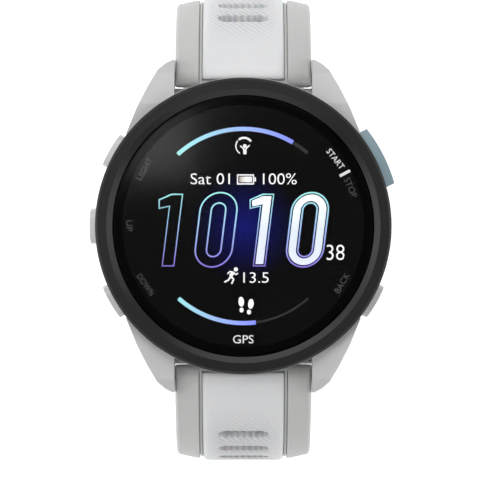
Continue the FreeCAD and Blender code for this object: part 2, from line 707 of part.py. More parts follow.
class Strap:
    # a strap whose outer face meets the bottom arc of the loop at bottomRadius
    def __init__(self, name, bottomRadius, endAngle):
        self.name = name
        self.bottomRadius = bottomRadius
        self.endAngle = endAngle
        radius = value(bottomRadius)
        self.outerCentre, self.outerSide, self.outerTurn = side_arc(pin + outward * value("boss_radius"), radius)
        inner = radius - value("strap_thickness")
        self.innerCentre, self.innerSide, self.innerTurn = side_arc(pin - outward * value("boss_radius"), inner)

    def base_sketch(self, body):
        sketch = new_sketch(body, self.name + "_side", "YZ_Plane")
        radius = value(self.bottomRadius)
        inner = radius - value("strap_thickness")
        outerStart = pin + outward * value("boss_radius")
        innerStart = pin - outward * value("boss_radius")
        tipOuter = bottom_point(radius, self.endAngle)
        tipInner = bottom_point(inner, self.endAngle)
        across = Vector(-outward.y, outward.x, 0)
        pieces = [
            arc_through(self.outerCentre, outerStart, self.outerTurn),
            arc_through(loopCentre, self.outerTurn, tipOuter),
            Part.LineSegment(tipOuter, tipInner),
            arc_through(loopCentre, tipInner, self.innerTurn),
            arc_through(self.innerCentre, self.innerTurn, innerStart),
            Part.Arc(innerStart, pin + across * value("boss_radius"), outerStart),
        ]
        radii = {0: self.outerSide, 1: self.bottomRadius,
                 3: "(%s) - strap_thickness" % self.bottomRadius, 4: self.innerSide}
        corners = [outerStart, self.outerTurn, tipOuter, tipInner, self.innerTurn, innerStart]
        closed_arcs(sketch, corners, pieces, radii)
        return sketch

    def band_sketch(self, body, name, inside, outside, wrap, stopAngle):
        # the part of the strap between two offsets from its outer face, wrapped over the pin
        sketch = new_sketch(body, name, "YZ_Plane")
        boss = value("boss_radius")
        radius = value(self.bottomRadius)
        behind = Vector(-wrap / boss, math.sqrt(1 - (wrap / boss) ** 2), 0)
        toTurn = self.outerTurn - self.outerCentre
        toTurn.normalize()
        corners = [
            pin + behind * (boss + outside),
            pin + outward * (boss + outside),
            self.outerCentre + toTurn * (self.outerSide + outside),
            bottom_point(radius + outside, stopAngle),
            bottom_point(radius + inside, stopAngle),
            self.outerCentre + toTurn * (self.outerSide + inside),
            pin + outward * (boss + inside),
            pin + behind * (boss + inside),
        ]
        pieces = [
            arc_through(pin, corners[0], corners[1]),
            arc_through(self.outerCentre, corners[1], corners[2]),
            arc_through(loopCentre, corners[2], corners[3]),
            Part.LineSegment(corners[3], corners[4]),
            arc_through(loopCentre, corners[4], corners[5]),
            arc_through(self.outerCentre, corners[5], corners[6]),
            arc_through(pin, corners[6], corners[7]),
            Part.LineSegment(corners[7], corners[0]),
        ]
        radii = {
            0: "boss_radius + (%s)" % outside,
            1: self.outerSide + outside,
            2: "(%s) + (%s)" % (self.bottomRadius, outside),
            4: "(%s) + (%s)" % (self.bottomRadius, inside),
            5: self.outerSide + inside,
            6: "boss_radius + (%s)" % inside,
        }
        closed_arcs(sketch, corners, pieces, radii)
        return sketch

    def slot_rows(self, count):
        # centre, first angle below the horizon, step and count of the side row and the bottom row
        first = value("first_slot")
        pitch = value("slot_pitch")
        turn = self.outerTurn - self.outerCentre
        lean = math.degrees(math.atan2(-turn.y, turn.x))
        startLean = value("strap_slope") - 90
        sideLength = self.outerSide * math.radians(lean - startLean)
        onSide = min(count, int((sideLength - first) / pitch) + 1)
        radius = value(self.bottomRadius)
        beyond = first + onSide * pitch - sideLength
        return [
            (self.outerCentre, startLean + math.degrees(first / self.outerSide),
             math.degrees(pitch / self.outerSide), onSide, self.outerSide + 4),
            (loopCentre, lean + math.degrees(beyond / radius),
             math.degrees(pitch / radius), count - onSide, radius + 4),
        ]


def slot_row(body, name, centre, first, step, count, reach):
    # a row of round-ended slots cut outwards from centre; angles in degrees below the horizon of +Y
    if count < 1:
        return
    turn = Rotation(Vector(1, 0, 0), -first)
    face = new_sketch(body, name + "_slot", "XZ_Plane",
                      Placement(Vector(0, centre.y, -centre.x), turn))
    obround(face, "slot_length", "slot_height")
    feature = body.newObject("PartDesign::Pocket", name + "_pocket")
    feature.Profile = face
    feature.Length = reach
    before = feature.BaseFeature.Shape.Volume
    doc.recompute()
    if feature.Shape.isNull() or feature.Shape.Volume > before - 1:
        raise ValueError(name + " removes nothing")
    if count < 2:
        return
    axis = new_sketch(body, name + "_axis", "YZ_Plane", Placement(Vector(centre.x, centre.y, 0), Rotation()))
    axis.Visibility = False
    body.Tip = feature
    row = body.newObject("PartDesign::PolarPattern", name + "_row")
    row.Originals = [feature]
    row.Axis = (axis, ["N_Axis"])
    body.Tip = row
    row.Reversed = True
    row.Angle = step * (count - 1)
    row.Occurrences = count
    doc.recompute()


def taper(body, name):
    # the strap narrows evenly from the sides of the loop to the buckle
    for right in (1, -1):
        tag = name + ("_right" if right > 0 else "_left")
        sketch = new_sketch(body, tag + "_taper", "XZ_Plane")
        corners = [
            ("strap_width / 2", "pin_height - taper_drop"),
            ("strap_width / 2 + 3", "pin_height - taper_drop"),
            ("strap_width / 2 + 3", "loop_centre - loop_radius - 3"),
            ("buckle_width / 2", "loop_centre - loop_radius - 3"),
        ]
        polygon(sketch, [(signed(right, x), z) for x, z in corners])
        pocket(body, sketch, tag + "_taper_cut", "case_diameter * 3", both=True)


def round_tip(body, strap, radius):
    # rounds the two corners of the tail tip
    tip = bottom_point(value(strap.bottomRadius) - value("strap_thickness") / 2, strap.endAngle)
    names = []
    for i, edge in enumerate(body.Shape.Edges):
        middle = edge.BoundBox.Center
        near = math.hypot(middle.y - tip.x, middle.z - tip.y) < 0.5
        if near and abs(middle.x) > 5 and edge.BoundBox.XLength < 1:
            names.append("Edge%d" % (i + 1))
    before = body.Tip
    fillet = body.newObject("PartDesign::Fillet", strap.name + "_tip_round")
    fillet.Base = (before, names)
    bind(fillet, "Radius", radius)
    doc.recompute()
    if len(names) != 2 or fillet.Shape.isNull():
        raise ValueError("the tail tip is not rounded")


def degrees_along(reach, radius="loop_radius"):
    return math.degrees(value(reach) / value(radius))


def add_strap(strap, buckleEnd, slotCount):
    base = new_body(strap.name + "_base_body")
    pad(base, strap.base_sketch(base), strap.name + "_pad", "strap_width", both=True)
    if buckleEnd:
        eye = new_sketch(base, strap.name + "_eye", "YZ_Plane")
        circle(eye, "eye_radius", barSpot.x, barSpot.y)
        pad(base, eye, strap.name + "_eye_pad", "strap_width", both=True)
    taper(base, strap.name)
    if not buckleEnd:
        round_tip(base, strap, "tail_round")
    inlayStop = strap.endAngle + degrees_along("inlay_end")
    wrap = value("inlay_wrap")
    channel = strap.band_sketch(base, strap.name + "_channel", -value("inlay_depth"), 1.0, wrap + 0.3, inlayStop)
    pocket(base, channel, strap.name + "_channel_cut", "channel_width", both=True)
    inlay = new_body(strap.name + "_inlay_body")
    band = strap.band_sketch(inlay, strap.name + "_band", -value("inlay_depth"), value("inlay_proud"),
                             wrap, inlayStop + degrees_along("groove_width"))
    pad(inlay, band, strap.name + "_inlay_pad", "inlay_width", both=True)
    for body, tag in ((base, "_base"), (inlay, "_inlay")):
        for i, (centre, first, step, count, reach) in enumerate(strap.slot_rows(slotCount)):
            slot_row(body, "%s%s_row_%d" % (strap.name, tag, i), centre, first, step, count, reach)
    return base, inlay


def sector(body, name, inner, outer, first, last):
    # ring piece about the bottom arc's centre between two angles
    sketch = new_sketch(body, name, "YZ_Plane")
    a = bottom_point(value(outer), first)
    b = bottom_point(value(outer), last)
    c = bottom_point(value(inner), last)
    d = bottom_point(value(inner), first)
    pieces = [arc_through(loopCentre, a, b), Part.LineSegment(b, c), arc_through(loopCentre, c, d),
              Part.LineSegment(d, a)]
    closed_arcs(sketch, [a, b, c, d], pieces, {0: outer, 2: inner})
    return sketch


buckleAngle = degrees_along("buckle_reach")
tailAngle = degrees_along("tail_reach")
barSpot = bottom_point(value("bar_reach"), -buckleAngle)

longStrap = Strap("lower_strap", "loop_radius", -tailAngle)
shortStrap = Strap("upper_strap", "short_radius", -buckleAngle)

halfTurn = Placement(Vector(0, 0, 0), Rotation(Vector(0, 0, 1), 180))


def bar_cuts(name):
    # pin bore through the strap end and the slot for the release lever
    bore = cylinder(name + "_bore", "bar_radius + running_gap", "strap_width + 2",
                    ("-strap_width / 2 - 1", "pin_reach", "pin_height"), (1, 0, 0))
    slot = box(name + "_lever_slot", 3.4, 1.5, 4, (7.0, 0, 0))
    lean = Placement(Vector(0, value("pin_reach"), value("pin_height")),
                     Rotation(Vector(1, 0, 0), 180 - value("strap_slope")))
    slot.Placement = lean.multiply(slot.Placement)
    return [bore, slot]


def quick_release(name):
    # spring bar: tube, fixed tip and sliding tip with its lever
    sleeve = tube(name + "_sleeve", "bar_radius", "bar_bore", "2 * bar_half",
                  ("-bar_half", "pin_reach", "pin_height"), (1, 0, 0))
    lean = Placement(Vector(0, value("pin_reach"), value("pin_height")),
                     Rotation(Vector(1, 0, 0), 180 - value("strap_slope")))
    window = box(name + "_sleeve_slot", 2.9, 0.9, 2, (6.9, 0, 0))
    window.Placement = lean.multiply(window.Placement)
    body = cut(name + "_bar_tube", sleeve, window)
    plug = cylinder(name + "_plug", "bar_bore", 1.5,
                    ("-bar_half", "pin_reach", "pin_height"), (1, 0, 0))
    point = cylinder(name + "_point", "tip_radius", "tip_depth + lug_gap / 2 - bar_half + 0.1",
                     ("-lug_gap / 2 - tip_depth", "pin_reach", "pin_height"), (1, 0, 0))
    tip = join(name + "_bar_tip", [plug, point])
    rod = cylinder(name + "_rod", "tip_radius", "tip_depth + lug_gap / 2 - 5",
                   (5.0, "pin_reach", "pin_height"), (1, 0, 0))
    collar = cylinder(name + "_collar", "bar_bore - 0.03", 1.4, (5.0, "pin_reach", "pin_height"), (1, 0, 0))
    lever = box(name + "_lever", 1.0, 0.7, 2.35, (7.8, 0, 0))
    knob = box(name + "_knob", 1.2, 1.2, 0.7, (7.8, 0, 2.2))
    for piece in (lever, knob):
        piece.Placement = lean.multiply(piece.Placement)
    release = join(name + "_release_pin", [rod, collar, lever, knob])
    return body, tip, release


for strap, label, slotCount in ((shortStrap, "upper_strap", 5), (longStrap, "lower_strap", 19)):
    base, inlay = add_strap(strap, strap is shortStrap, slotCount)
    cuts = bar_cuts(label)
    if strap is shortStrap:
        cuts.append(cylinder("buckle_bore", "bar_radius + running_gap", "strap_width + 2",
                             ("-strap_width / 2 - 1", barSpot.x, barSpot.y), (1, 0, 0)))
        mouth = box("tongue_mouth", 3.2, 6.4, 6, (0, barSpot.x - 1.3, barSpot.y - 3))
        cuts.append(mouth)
    whole = cut(label + "_base", base, join(label + "_cutters", cuts))
    sleeve, tip, release = quick_release(label)
    pieces = [(whole, "_base"), (inlay, "_inlay"), (sleeve, "_bar_tube"), (tip, "_bar_tip"), (release, "_release_pin")]
    for thing, ending in pieces:
        if strap is longStrap:
            thing.Placement = halfTurn.multiply(thing.Placement)
        node(thing, label + ending)

# ---- buckle and keepers -------------------------------------------------------
# In the plane of the loop the buckle lies on the lower strap's side of the bottom.

farBar = degrees_along("buckle_reach + frame_length")
earTurn = degrees_along("frame_ear")
frameBody = new_body("frame_body")
plate = sector(frameBody, "frame_plate", "frame_inner", "frame_outer",
               -farBar - degrees_along("frame_bar"), -buckleAngle + earTurn - 0.1)
pad(frameBody, plate, "frame_pad", "frame_width", both=True)
ear = sector(frameBody, "frame_ear", "bar_reach - frame_ear", "frame_outer",
             -buckleAngle - earTurn, -buckleAngle + earTurn)
pad(frameBody, ear, "frame_ear_pad", "frame_width", both=True)
endBar = bottom_point(value("frame_inner"), -farBar)
window = box("frame_window", "buckle_width + 1.4", 30, 40, (0, endBar.x + 15, endBar.y - 20))
frameBore = cylinder("frame_bore", "bar_radius + running_gap", "frame_width + 2",
                     ("-frame_width / 2 - 1", barSpot.x, barSpot.y), (1, 0, 0))
node(cut("buckle_frame", frameBody, join("frame_cutters", [window, frameBore])), "buckle_frame")
node(cylinder("buckle_bar", "bar_radius", "frame_width - 0.2",
              ("-frame_width / 2 + 0.1", barSpot.x, barSpot.y), (1, 0, 0)), "buckle_bar")

tongueBody = new_body("tongue_body")
eye = new_sketch(tongueBody, "tongue_eye", "YZ_Plane")
circle(eye, "eye_radius - 0.15", barSpot.x, barSpot.y)
pad(tongueBody, eye, "tongue_eye_pad", 2.6, both=True)
prong = sector(tongueBody, "tongue_prong", "short_radius - 1.5", "short_radius - 0.2",
               -farBar - degrees_along("frame_bar") / 2, -buckleAngle - 0.2)
pad(tongueBody, prong, "tongue_prong_pad", 2.4, both=True)
tongueBore = cylinder("tongue_bore", "bar_radius + running_gap", 4, (-2, barSpot.x, barSpot.y), (1, 0, 0))
node(cut("buckle_tongue", tongueBody, tongueBore), "buckle_tongue")


def keeper(name, first, inner):
    # a band round both straps; first is the angle of its near edge
    last = first + degrees_along("keeper_width")
    band = new_body(name + "_band")
    outside = sector(band, name + "_outside", inner + " - keeper_wall", "frame_inner + keeper_wall", first, last)
    pad(band, outside, name + "_pad", "buckle_width + 2 * keeper_play + 2 * keeper_wall", both=True)
    inside = sector(band, name + "_inside", inner, "frame_inner", first - 2, last + 2)
    pocket(band, inside, name + "_hollow", "buckle_width + 2 * keeper_play", both=True)
    return node(band, name)


keeper("fixed_keeper", -degrees_along("fixed_keeper_reach"), "under_strap")
keeper("free_keeper", degrees_along("free_keeper_reach"), "under_strap - 0.4")

# ---- check and write ----------------------------------------------------------

doc.recompute()
faults = []
for thing in doc.Objects:
    if "Invalid" in thing.State or "Error" in thing.State:
        faults.append("%s is %s" % (thing.Name, thing.State))
names = set()
for thing in nodes:
    shape = thing.Shape
    if shape.isNull() or not shape.isValid() or not shape.Solids:
        faults.append("%s has no sound shape" % thing.Label)
    if thing.Label in names:
        faults.append("%s is used twice" % thing.Label)
    names.add(thing.Label)
if faults:
    raise ValueError("; ".join(faults))

for thing in nodes:
    thing.Shape.exportStep("parts/%s.step" % thing.Label)
print("wrote %d parts" % len(nodes))
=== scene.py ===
import bpy
import json
import math
from mathutils import Matrix, Vector


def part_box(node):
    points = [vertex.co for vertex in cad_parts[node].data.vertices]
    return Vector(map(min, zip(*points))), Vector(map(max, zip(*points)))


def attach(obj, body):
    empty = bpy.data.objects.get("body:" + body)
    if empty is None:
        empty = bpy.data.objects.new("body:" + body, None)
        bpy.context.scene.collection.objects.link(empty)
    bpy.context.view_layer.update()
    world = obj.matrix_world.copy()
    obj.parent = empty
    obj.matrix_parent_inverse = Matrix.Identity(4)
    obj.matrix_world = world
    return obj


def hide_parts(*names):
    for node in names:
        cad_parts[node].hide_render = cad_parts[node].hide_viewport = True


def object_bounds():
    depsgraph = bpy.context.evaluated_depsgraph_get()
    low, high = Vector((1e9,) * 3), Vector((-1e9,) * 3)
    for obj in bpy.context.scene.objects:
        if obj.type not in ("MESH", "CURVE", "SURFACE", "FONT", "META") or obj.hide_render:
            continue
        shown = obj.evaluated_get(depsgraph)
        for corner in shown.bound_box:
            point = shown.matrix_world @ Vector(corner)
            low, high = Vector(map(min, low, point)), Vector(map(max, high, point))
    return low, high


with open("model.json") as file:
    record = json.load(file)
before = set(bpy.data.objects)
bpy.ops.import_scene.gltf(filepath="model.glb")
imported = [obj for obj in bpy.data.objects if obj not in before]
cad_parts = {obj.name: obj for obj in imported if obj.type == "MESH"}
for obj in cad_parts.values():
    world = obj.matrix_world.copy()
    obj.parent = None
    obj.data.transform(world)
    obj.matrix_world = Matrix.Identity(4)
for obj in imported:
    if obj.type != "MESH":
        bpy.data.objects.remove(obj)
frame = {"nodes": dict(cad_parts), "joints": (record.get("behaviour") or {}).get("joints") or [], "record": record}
cadLow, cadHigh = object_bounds()
nodes = frame["nodes"]
record = frame["record"]
slotOf = {part["node"]: part["material_slot"] for part in record["subparts"]}
joints = {joint["name"]: joint for joint in frame["joints"]}
mm = 0.001
print("frame loaded:", len(nodes), "nodes")


# node groups shared by the finishes

def newGroup(name, inputs, outputs):
    group = bpy.data.node_groups.new(name, "ShaderNodeTree")
    kinds = {"v": "NodeSocketVector", "c": "NodeSocketColor", "f": "NodeSocketFloat"}
    for label, kind in inputs:
        group.interface.new_socket(name=label, in_out="INPUT", socket_type=kinds[kind])
    for label, kind in outputs:
        group.interface.new_socket(name=label, in_out="OUTPUT", socket_type=kinds[kind])
    return group, group.nodes.new("NodeGroupInput"), group.nodes.new("NodeGroupOutput")


def addNode(tree, kind, **settings):
    node = tree.nodes.new("ShaderNode" + kind)
    for name, value in settings.items():
        setattr(node, name, value)
    return node


def mathNode(tree, operation, first, second=None, third=None):
    node = addNode(tree, "Math", operation=operation)
    for socket, value in zip(node.inputs, (first, second, third)):
        if value is None:
            continue
        if isinstance(value, (int, float)):
            socket.default_value = value
        else:
            tree.links.new(value, socket)
    return node.outputs[0]


def noiseNode(tree, place, scale, detail=3.0):
    node = addNode(tree, "TexNoise")
    node.inputs["Detail"].default_value = detail
    tree.links.new(place, node.inputs["Vector"])
    if isinstance(scale, (int, float)):
        node.inputs["Scale"].default_value = scale
    else:
        tree.links.new(scale, node.inputs["Scale"])
    return node.outputs["Fac"]


def mixColor(tree, share, first, second):
    node = addNode(tree, "Mix", data_type="RGBA")
    for socket, value in ((node.inputs[0], share), (node.inputs[6], first), (node.inputs[7], second)):
        if isinstance(value, bpy.types.NodeSocket):
            tree.links.new(value, socket)
        else:
            socket.default_value = value
    return node.outputs[2]


def makeMouldedGrain():
    # fine moulded grain with broad soft patches of colour and gloss
    group, enter, leave = newGroup(
        "mouldedGrain",
        [("Place", "v"), ("Color", "c"), ("Tint", "c"), ("Grain Scale", "f"), ("Patch Scale", "f"),
         ("Gloss", "f"), ("Matt", "f")],
        [("Color", "c"), ("Roughness", "f"), ("Height", "f")])
    fine = noiseNode(group, enter.outputs["Place"], enter.outputs["Grain Scale"], 4.0)
    patch = noiseNode(group, enter.outputs["Place"], enter.outputs["Patch Scale"], 2.0)
    both = mathNode(group, "MULTIPLY_ADD", fine, 0.35, mathNode(group, "MULTIPLY", patch, 0.65))
    color = mixColor(group, both, enter.outputs["Color"], enter.outputs["Tint"])
    spread = mathNode(group, "SUBTRACT", enter.outputs["Matt"], enter.outputs["Gloss"])
    rough = mathNode(group, "MULTIPLY_ADD", spread, both, enter.outputs["Gloss"])
    group.links.new(color, leave.inputs["Color"])
    group.links.new(rough, leave.inputs["Roughness"])
    group.links.new(fine, leave.inputs["Height"])
    return group


def makeHandlingWear():
    # fine hairline scratches and a few dull rubbed spots
    group, enter, leave = newGroup(
        "handlingWear", [("Place", "v"), ("Length", "f"), ("Amount", "f")],
        [("Scratch", "f"), ("Rub", "f")])
    stretch = addNode(group, "Mapping")
    stretch.inputs["Scale"].default_value = (1.0, 0.03, 1.0)
    stretch.inputs["Rotation"].default_value = (0.0, 0.0, math.radians(35))
    group.links.new(enter.outputs["Place"], stretch.inputs["Vector"])
    lines = noiseNode(group, stretch.outputs["Vector"], enter.outputs["Length"], 1.0)
    sharp = mathNode(group, "GREATER_THAN", lines, 0.69)
    group.links.new(mathNode(group, "MULTIPLY", sharp, enter.outputs["Amount"]), leave.inputs["Scratch"])
    rub = noiseNode(group, enter.outputs["Place"], 140.0, 3.0)
    above = mathNode(group, "MAXIMUM", mathNode(group, "SUBTRACT", rub, 0.5), 0.0)
    soft = mathNode(group, "SMOOTH_MIN", above, 0.3, 0.1)
    group.links.new(mathNode(group, "MULTIPLY", soft, enter.outputs["Amount"]), leave.inputs["Rub"])
    return group


def makeTurnedRings():
    # concentric tool marks round the Z axis
    group, enter, leave = newGroup("turnedRings", [("Place", "v"), ("Pitch", "f")], [("Height", "f")])
    split = addNode(group, "SeparateXYZ")
    group.links.new(enter.outputs["Place"], split.inputs[0])
    across = mathNode(group, "MULTIPLY", split.outputs["X"], split.outputs["X"])
    along = mathNode(group, "MULTIPLY", split.outputs["Y"], split.outputs["Y"])
    radius = mathNode(group, "SQRT", mathNode(group, "ADD", across, along))
    turns = mathNode(group, "DIVIDE", radius, enter.outputs["Pitch"])
    wave = mathNode(group, "SINE", mathNode(group, "MULTIPLY", turns, math.tau))
    group.links.new(wave, leave.inputs["Height"])
    return group


def makeSlantRidges():
    # fine slanted ridges of the strap centre, fading to its sides and its lug end; Shade marks the valleys for
    # painted shade
    group, enter, leave = newGroup(
        "slantRidges",
        [("Flat Place", "v"), ("Pitch", "f"), ("Half Width", "f"), ("Start", "f"), ("Lean", "f")],
        [("Height", "f"), ("Shade", "f")])
    split = addNode(group, "SeparateXYZ")
    group.links.new(enter.outputs["Flat Place"], split.inputs[0])
    across = split.outputs["X"]
    along = split.outputs["Y"]
    slanted = mathNode(group, "MULTIPLY_ADD", across, enter.outputs["Lean"], along)
    turns = mathNode(group, "DIVIDE", slanted, enter.outputs["Pitch"])
    swing = mathNode(group, "SINE", mathNode(group, "MULTIPLY", turns, math.tau))
    wave = mathNode(group, "MULTIPLY_ADD", swing, 0.5, 0.5)
    side = mathNode(group, "DIVIDE", mathNode(group, "ABSOLUTE", across), enter.outputs["Half Width"])
    sideFade = mathNode(group, "SUBTRACT", 1.0, mathNode(group, "POWER", side, 4.0))
    sideFade = mathNode(group, "MAXIMUM", sideFade, 0.0)
    rise = mathNode(group, "DIVIDE", mathNode(group, "SUBTRACT", along, enter.outputs["Start"]), 0.006)
    startFade = mathNode(group, "MINIMUM", mathNode(group, "MAXIMUM", rise, 0.0), 1.0)
    fade = mathNode(group, "MULTIPLY", sideFade, startFade)
    group.links.new(mathNode(group, "MULTIPLY", wave, fade), leave.inputs["Height"])
    # painted shade mask: the ridge valleys, to be darkened in the colour
    paintedValleyShade = mathNode(group, "SUBTRACT", 1.0, wave)
    group.links.new(mathNode(group, "MULTIPLY", paintedValleyShade, fade), leave.inputs["Shade"])
    return group


mouldedGrain = makeMouldedGrain()
handlingWear = makeHandlingWear()
turnedRings = makeTurnedRings()
slantRidges = makeSlantRidges()


# the finishes

def placeGroup(tree, group, **values):
    node = tree.nodes.new("ShaderNodeGroup")
    node.node_tree = group
    for name, value in values.items():
        label = name.replace("_", " ")
        if isinstance(value, bpy.types.NodeSocket):
            tree.links.new(value, node.inputs[label])
        else:
            node.inputs[label].default_value = value
    return node


def startFinish(name):
    finish = bpy.data.materials.new(name)
    finish.use_nodes = True
    tree = finish.node_tree
    shader = tree.nodes["Principled BSDF"]
    place = addNode(tree, "TexCoord").outputs["Object"]
    return finish, tree, shader, place


def gray(level, warm=0.0):
    return (level + warm, level, level - warm, 1.0)


def addBump(tree, shader, height, strength, distance):
    bump = addNode(tree, "Bump")
    bump.inputs["Strength"].default_value = strength
    bump.inputs["Distance"].default_value = distance
    tree.links.new(height, bump.inputs["Height"])
    tree.links.new(bump.outputs["Normal"], shader.inputs["Normal"])
    return bump


def mouldedFinish(name, look):
    finish, tree, shader, place = startFinish(name)
    grain = placeGroup(tree, mouldedGrain, Place=place, Color=look["color"], Tint=look["tint"],
                       Grain_Scale=look.get("grain", 5000.0), Patch_Scale=160.0,
                       Gloss=look["gloss"], Matt=look["matt"])
    wear = placeGroup(tree, handlingWear, Place=place, Length=2500.0, Amount=look.get("wear", 0.1))
    worn = mixColor(tree, wear.outputs["Scratch"], grain.outputs["Color"], look["tint"])
    tree.links.new(worn, shader.inputs["Base Color"])
    rough = mathNode(tree, "ADD", grain.outputs["Roughness"], wear.outputs["Rub"])
    tree.links.new(rough, shader.inputs["Roughness"])
    addBump(tree, shader, grain.outputs["Height"], look.get("bump", 0.25), look.get("depth", 0.00002))
    shader.inputs["Metallic"].default_value = look.get("metal", 0.0)
    shader.inputs["Coat Weight"].default_value = look.get("coat", 0.0)
    shader.inputs["Sheen Weight"].default_value = look.get("sheen", 0.0)
    shader.inputs["Subsurface Weight"].default_value = look.get("under", 0.0)
    shader.inputs["Subsurface Scale"].default_value = 0.0008
    return finish


def bezelFinish():
    look = {"color": gray(0.0035), "tint": gray(0.006), "gloss": 0.30, "matt": 0.42, "pitch": 0.00018}
    finish, tree, shader, place = startFinish("bezelCharcoal")
    grain = placeGroup(tree, mouldedGrain, Place=place, Color=look["color"], Tint=look["tint"],
                       Grain_Scale=6000.0, Patch_Scale=90.0, Gloss=look["gloss"], Matt=look["matt"])
    rings = placeGroup(tree, turnedRings, Place=place, Pitch=look["pitch"])
    height = mathNode(tree, "MULTIPLY_ADD", rings.outputs["Height"], 0.25, grain.outputs["Height"])
    tree.links.new(grain.outputs["Color"], shader.inputs["Base Color"])
    tree.links.new(grain.outputs["Roughness"], shader.inputs["Roughness"])
    addBump(tree, shader, height, 0.3, 0.00001)
    return finish


def glassFinish(name, color, roughness):
    finish, tree, shader, place = startFinish(name)
    smear = noiseNode(tree, place, 60.0, 3.0)
    rough = mathNode(tree, "MULTIPLY_ADD", smear, roughness, roughness * 0.5)
    tree.links.new(rough, shader.inputs["Roughness"])
    shader.inputs["Base Color"].default_value = color
    shader.inputs["Transmission Weight"].default_value = 1.0
    shader.inputs["IOR"].default_value = 1.5
    return finish


def displayFinish():
    # black panel with a deep blue glow in its middle
    look = {"middle": (0.0003, 0.0, 0.0), "reach": 0.0085, "glow": (0.005, 0.007, 0.16, 1.0)}
    finish, tree, shader, place = startFinish("displayStack")
    centre = addNode(tree, "Mapping")
    centre.inputs["Location"].default_value = [-number for number in look["middle"]]
    tree.links.new(place, centre.inputs["Vector"])
    split = addNode(tree, "SeparateXYZ")
    tree.links.new(centre.outputs["Vector"], split.inputs[0])
    across = mathNode(tree, "MULTIPLY", split.outputs["X"], split.outputs["X"])
    along = mathNode(tree, "MULTIPLY", split.outputs["Y"], split.outputs["Y"])
    radius = mathNode(tree, "SQRT", mathNode(tree, "ADD", across, along))
    near = mathNode(tree, "SUBTRACT", 1.0, mathNode(tree, "DIVIDE", radius, look["reach"]))
    share = mathNode(tree, "POWER", mathNode(tree, "MAXIMUM", near, 0.0), 1.7)
    dots = noiseNode(tree, place, 9000.0, 1.0)
    lit = mathNode(tree, "MULTIPLY", share, mathNode(tree, "MULTIPLY_ADD", dots, 0.2, 0.9))
    glow = mixColor(tree, lit, (0.0, 0.0, 0.0, 1.0), look["glow"])
    tree.links.new(glow, shader.inputs["Emission Color"])
    shader.inputs["Emission Strength"].default_value = 1.0
    shade = mixColor(tree, dots, gray(0.0003), gray(0.0006))
    tree.links.new(shade, shader.inputs["Base Color"])
    shader.inputs["Roughness"].default_value = 0.5
    shader.inputs["Specular IOR Level"].default_value = 0.0
    return finish


def printedFinish(name, color, strength=0.0):
    # ink or lit segments, never quite even; printed button words get a painted glow here too
    finish, tree, shader, place = startFinish(name)
    uneven = noiseNode(tree, place, 7000.0, 2.0)
    darker = tuple(level * 0.85 for level in color[:3]) + (1.0,)
    shade = mixColor(tree, uneven, color, darker)
    tree.links.new(shade, shader.inputs["Base Color"])
    shader.inputs["Roughness"].default_value = 0.6
    shader.inputs["Specular IOR Level"].default_value = 0.0
    if strength:
        tree.links.new(shade, shader.inputs["Emission Color"])
        shader.inputs["Emission Strength"].default_value = strength
    return finish


def fadedFinish(name, stops, low, high, axis, strength):
    # lit segments whose colour runs from one end to the other
    finish, tree, shader, place = startFinish(name)
    split = addNode(tree, "SeparateXYZ")
    tree.links.new(place, split.inputs[0])
    share = addNode(tree, "MapRange")
    share.inputs["From Min"].default_value = low
    share.inputs["From Max"].default_value = high
    tree.links.new(split.outputs[axis], share.inputs["Value"])
    ramp = addNode(tree, "ValToRGB")
    spare = ramp.color_ramp.elements
    spare[0].color = stops[0]
    spare[1].color = stops[-1]
    for i, stop in enumerate(stops[1:-1]):
        spare.new((i + 1) / (len(stops) - 1)).color = stop
    tree.links.new(share.outputs["Result"], ramp.inputs["Fac"])
    uneven = noiseNode(tree, place, 7000.0, 2.0)
    shade = mixColor(tree, mathNode(tree, "MULTIPLY", uneven, 0.12), ramp.outputs["Color"], gray(0.0))
    tree.links.new(shade, shader.inputs["Base Color"])
    tree.links.new(shade, shader.inputs["Emission Color"])
    shader.inputs["Emission Strength"].default_value = strength
    shader.inputs["Roughness"].default_value = 0.6
    return finish


def strapCentreFinish():
    # soft white silicone; its ridges follow the flat place kept in the UV map, with painted shade darkening their
    # valleys
    look = {"color": (0.80, 0.81, 0.82, 1.0), "tint": (0.74, 0.75, 0.765, 1.0),
            "paintedValleyShade": (0.50, 0.51, 0.54, 1.0)}
    finish, tree, shader, place = startFinish("siliconeWhite")
    flat = addNode(tree, "UVMap", uv_map="flatPlace").outputs["UV"]
    grain = placeGroup(tree, mouldedGrain, Place=place, Color=look["color"], Tint=look["tint"],
                       Grain_Scale=4500.0, Patch_Scale=120.0, Gloss=0.42, Matt=0.6)
    ridges = placeGroup(tree, slantRidges, Flat_Place=flat, Pitch=0.00092, Half_Width=0.0056, Start=0.0035,
                        Lean=1.0)
    # painted shade: the base colour goes darker in the ridge valleys
    shade = mixColor(tree, mathNode(tree, "MULTIPLY", ridges.outputs["Shade"], 0.7), grain.outputs["Color"],
                     look["paintedValleyShade"])
    tree.links.new(shade, shader.inputs["Base Color"])
    tree.links.new(grain.outputs["Roughness"], shader.inputs["Roughness"])
    height = mathNode(tree, "MULTIPLY_ADD", grain.outputs["Height"], 0.06, ridges.outputs["Height"])
    addBump(tree, shader, height, 0.8, 0.00012)
    shader.inputs["Subsurface Weight"].default_value = 0.15
    shader.inputs["Subsurface Scale"].default_value = 0.0008
    shader.inputs["Sheen Weight"].default_value = 0.1
    return finish


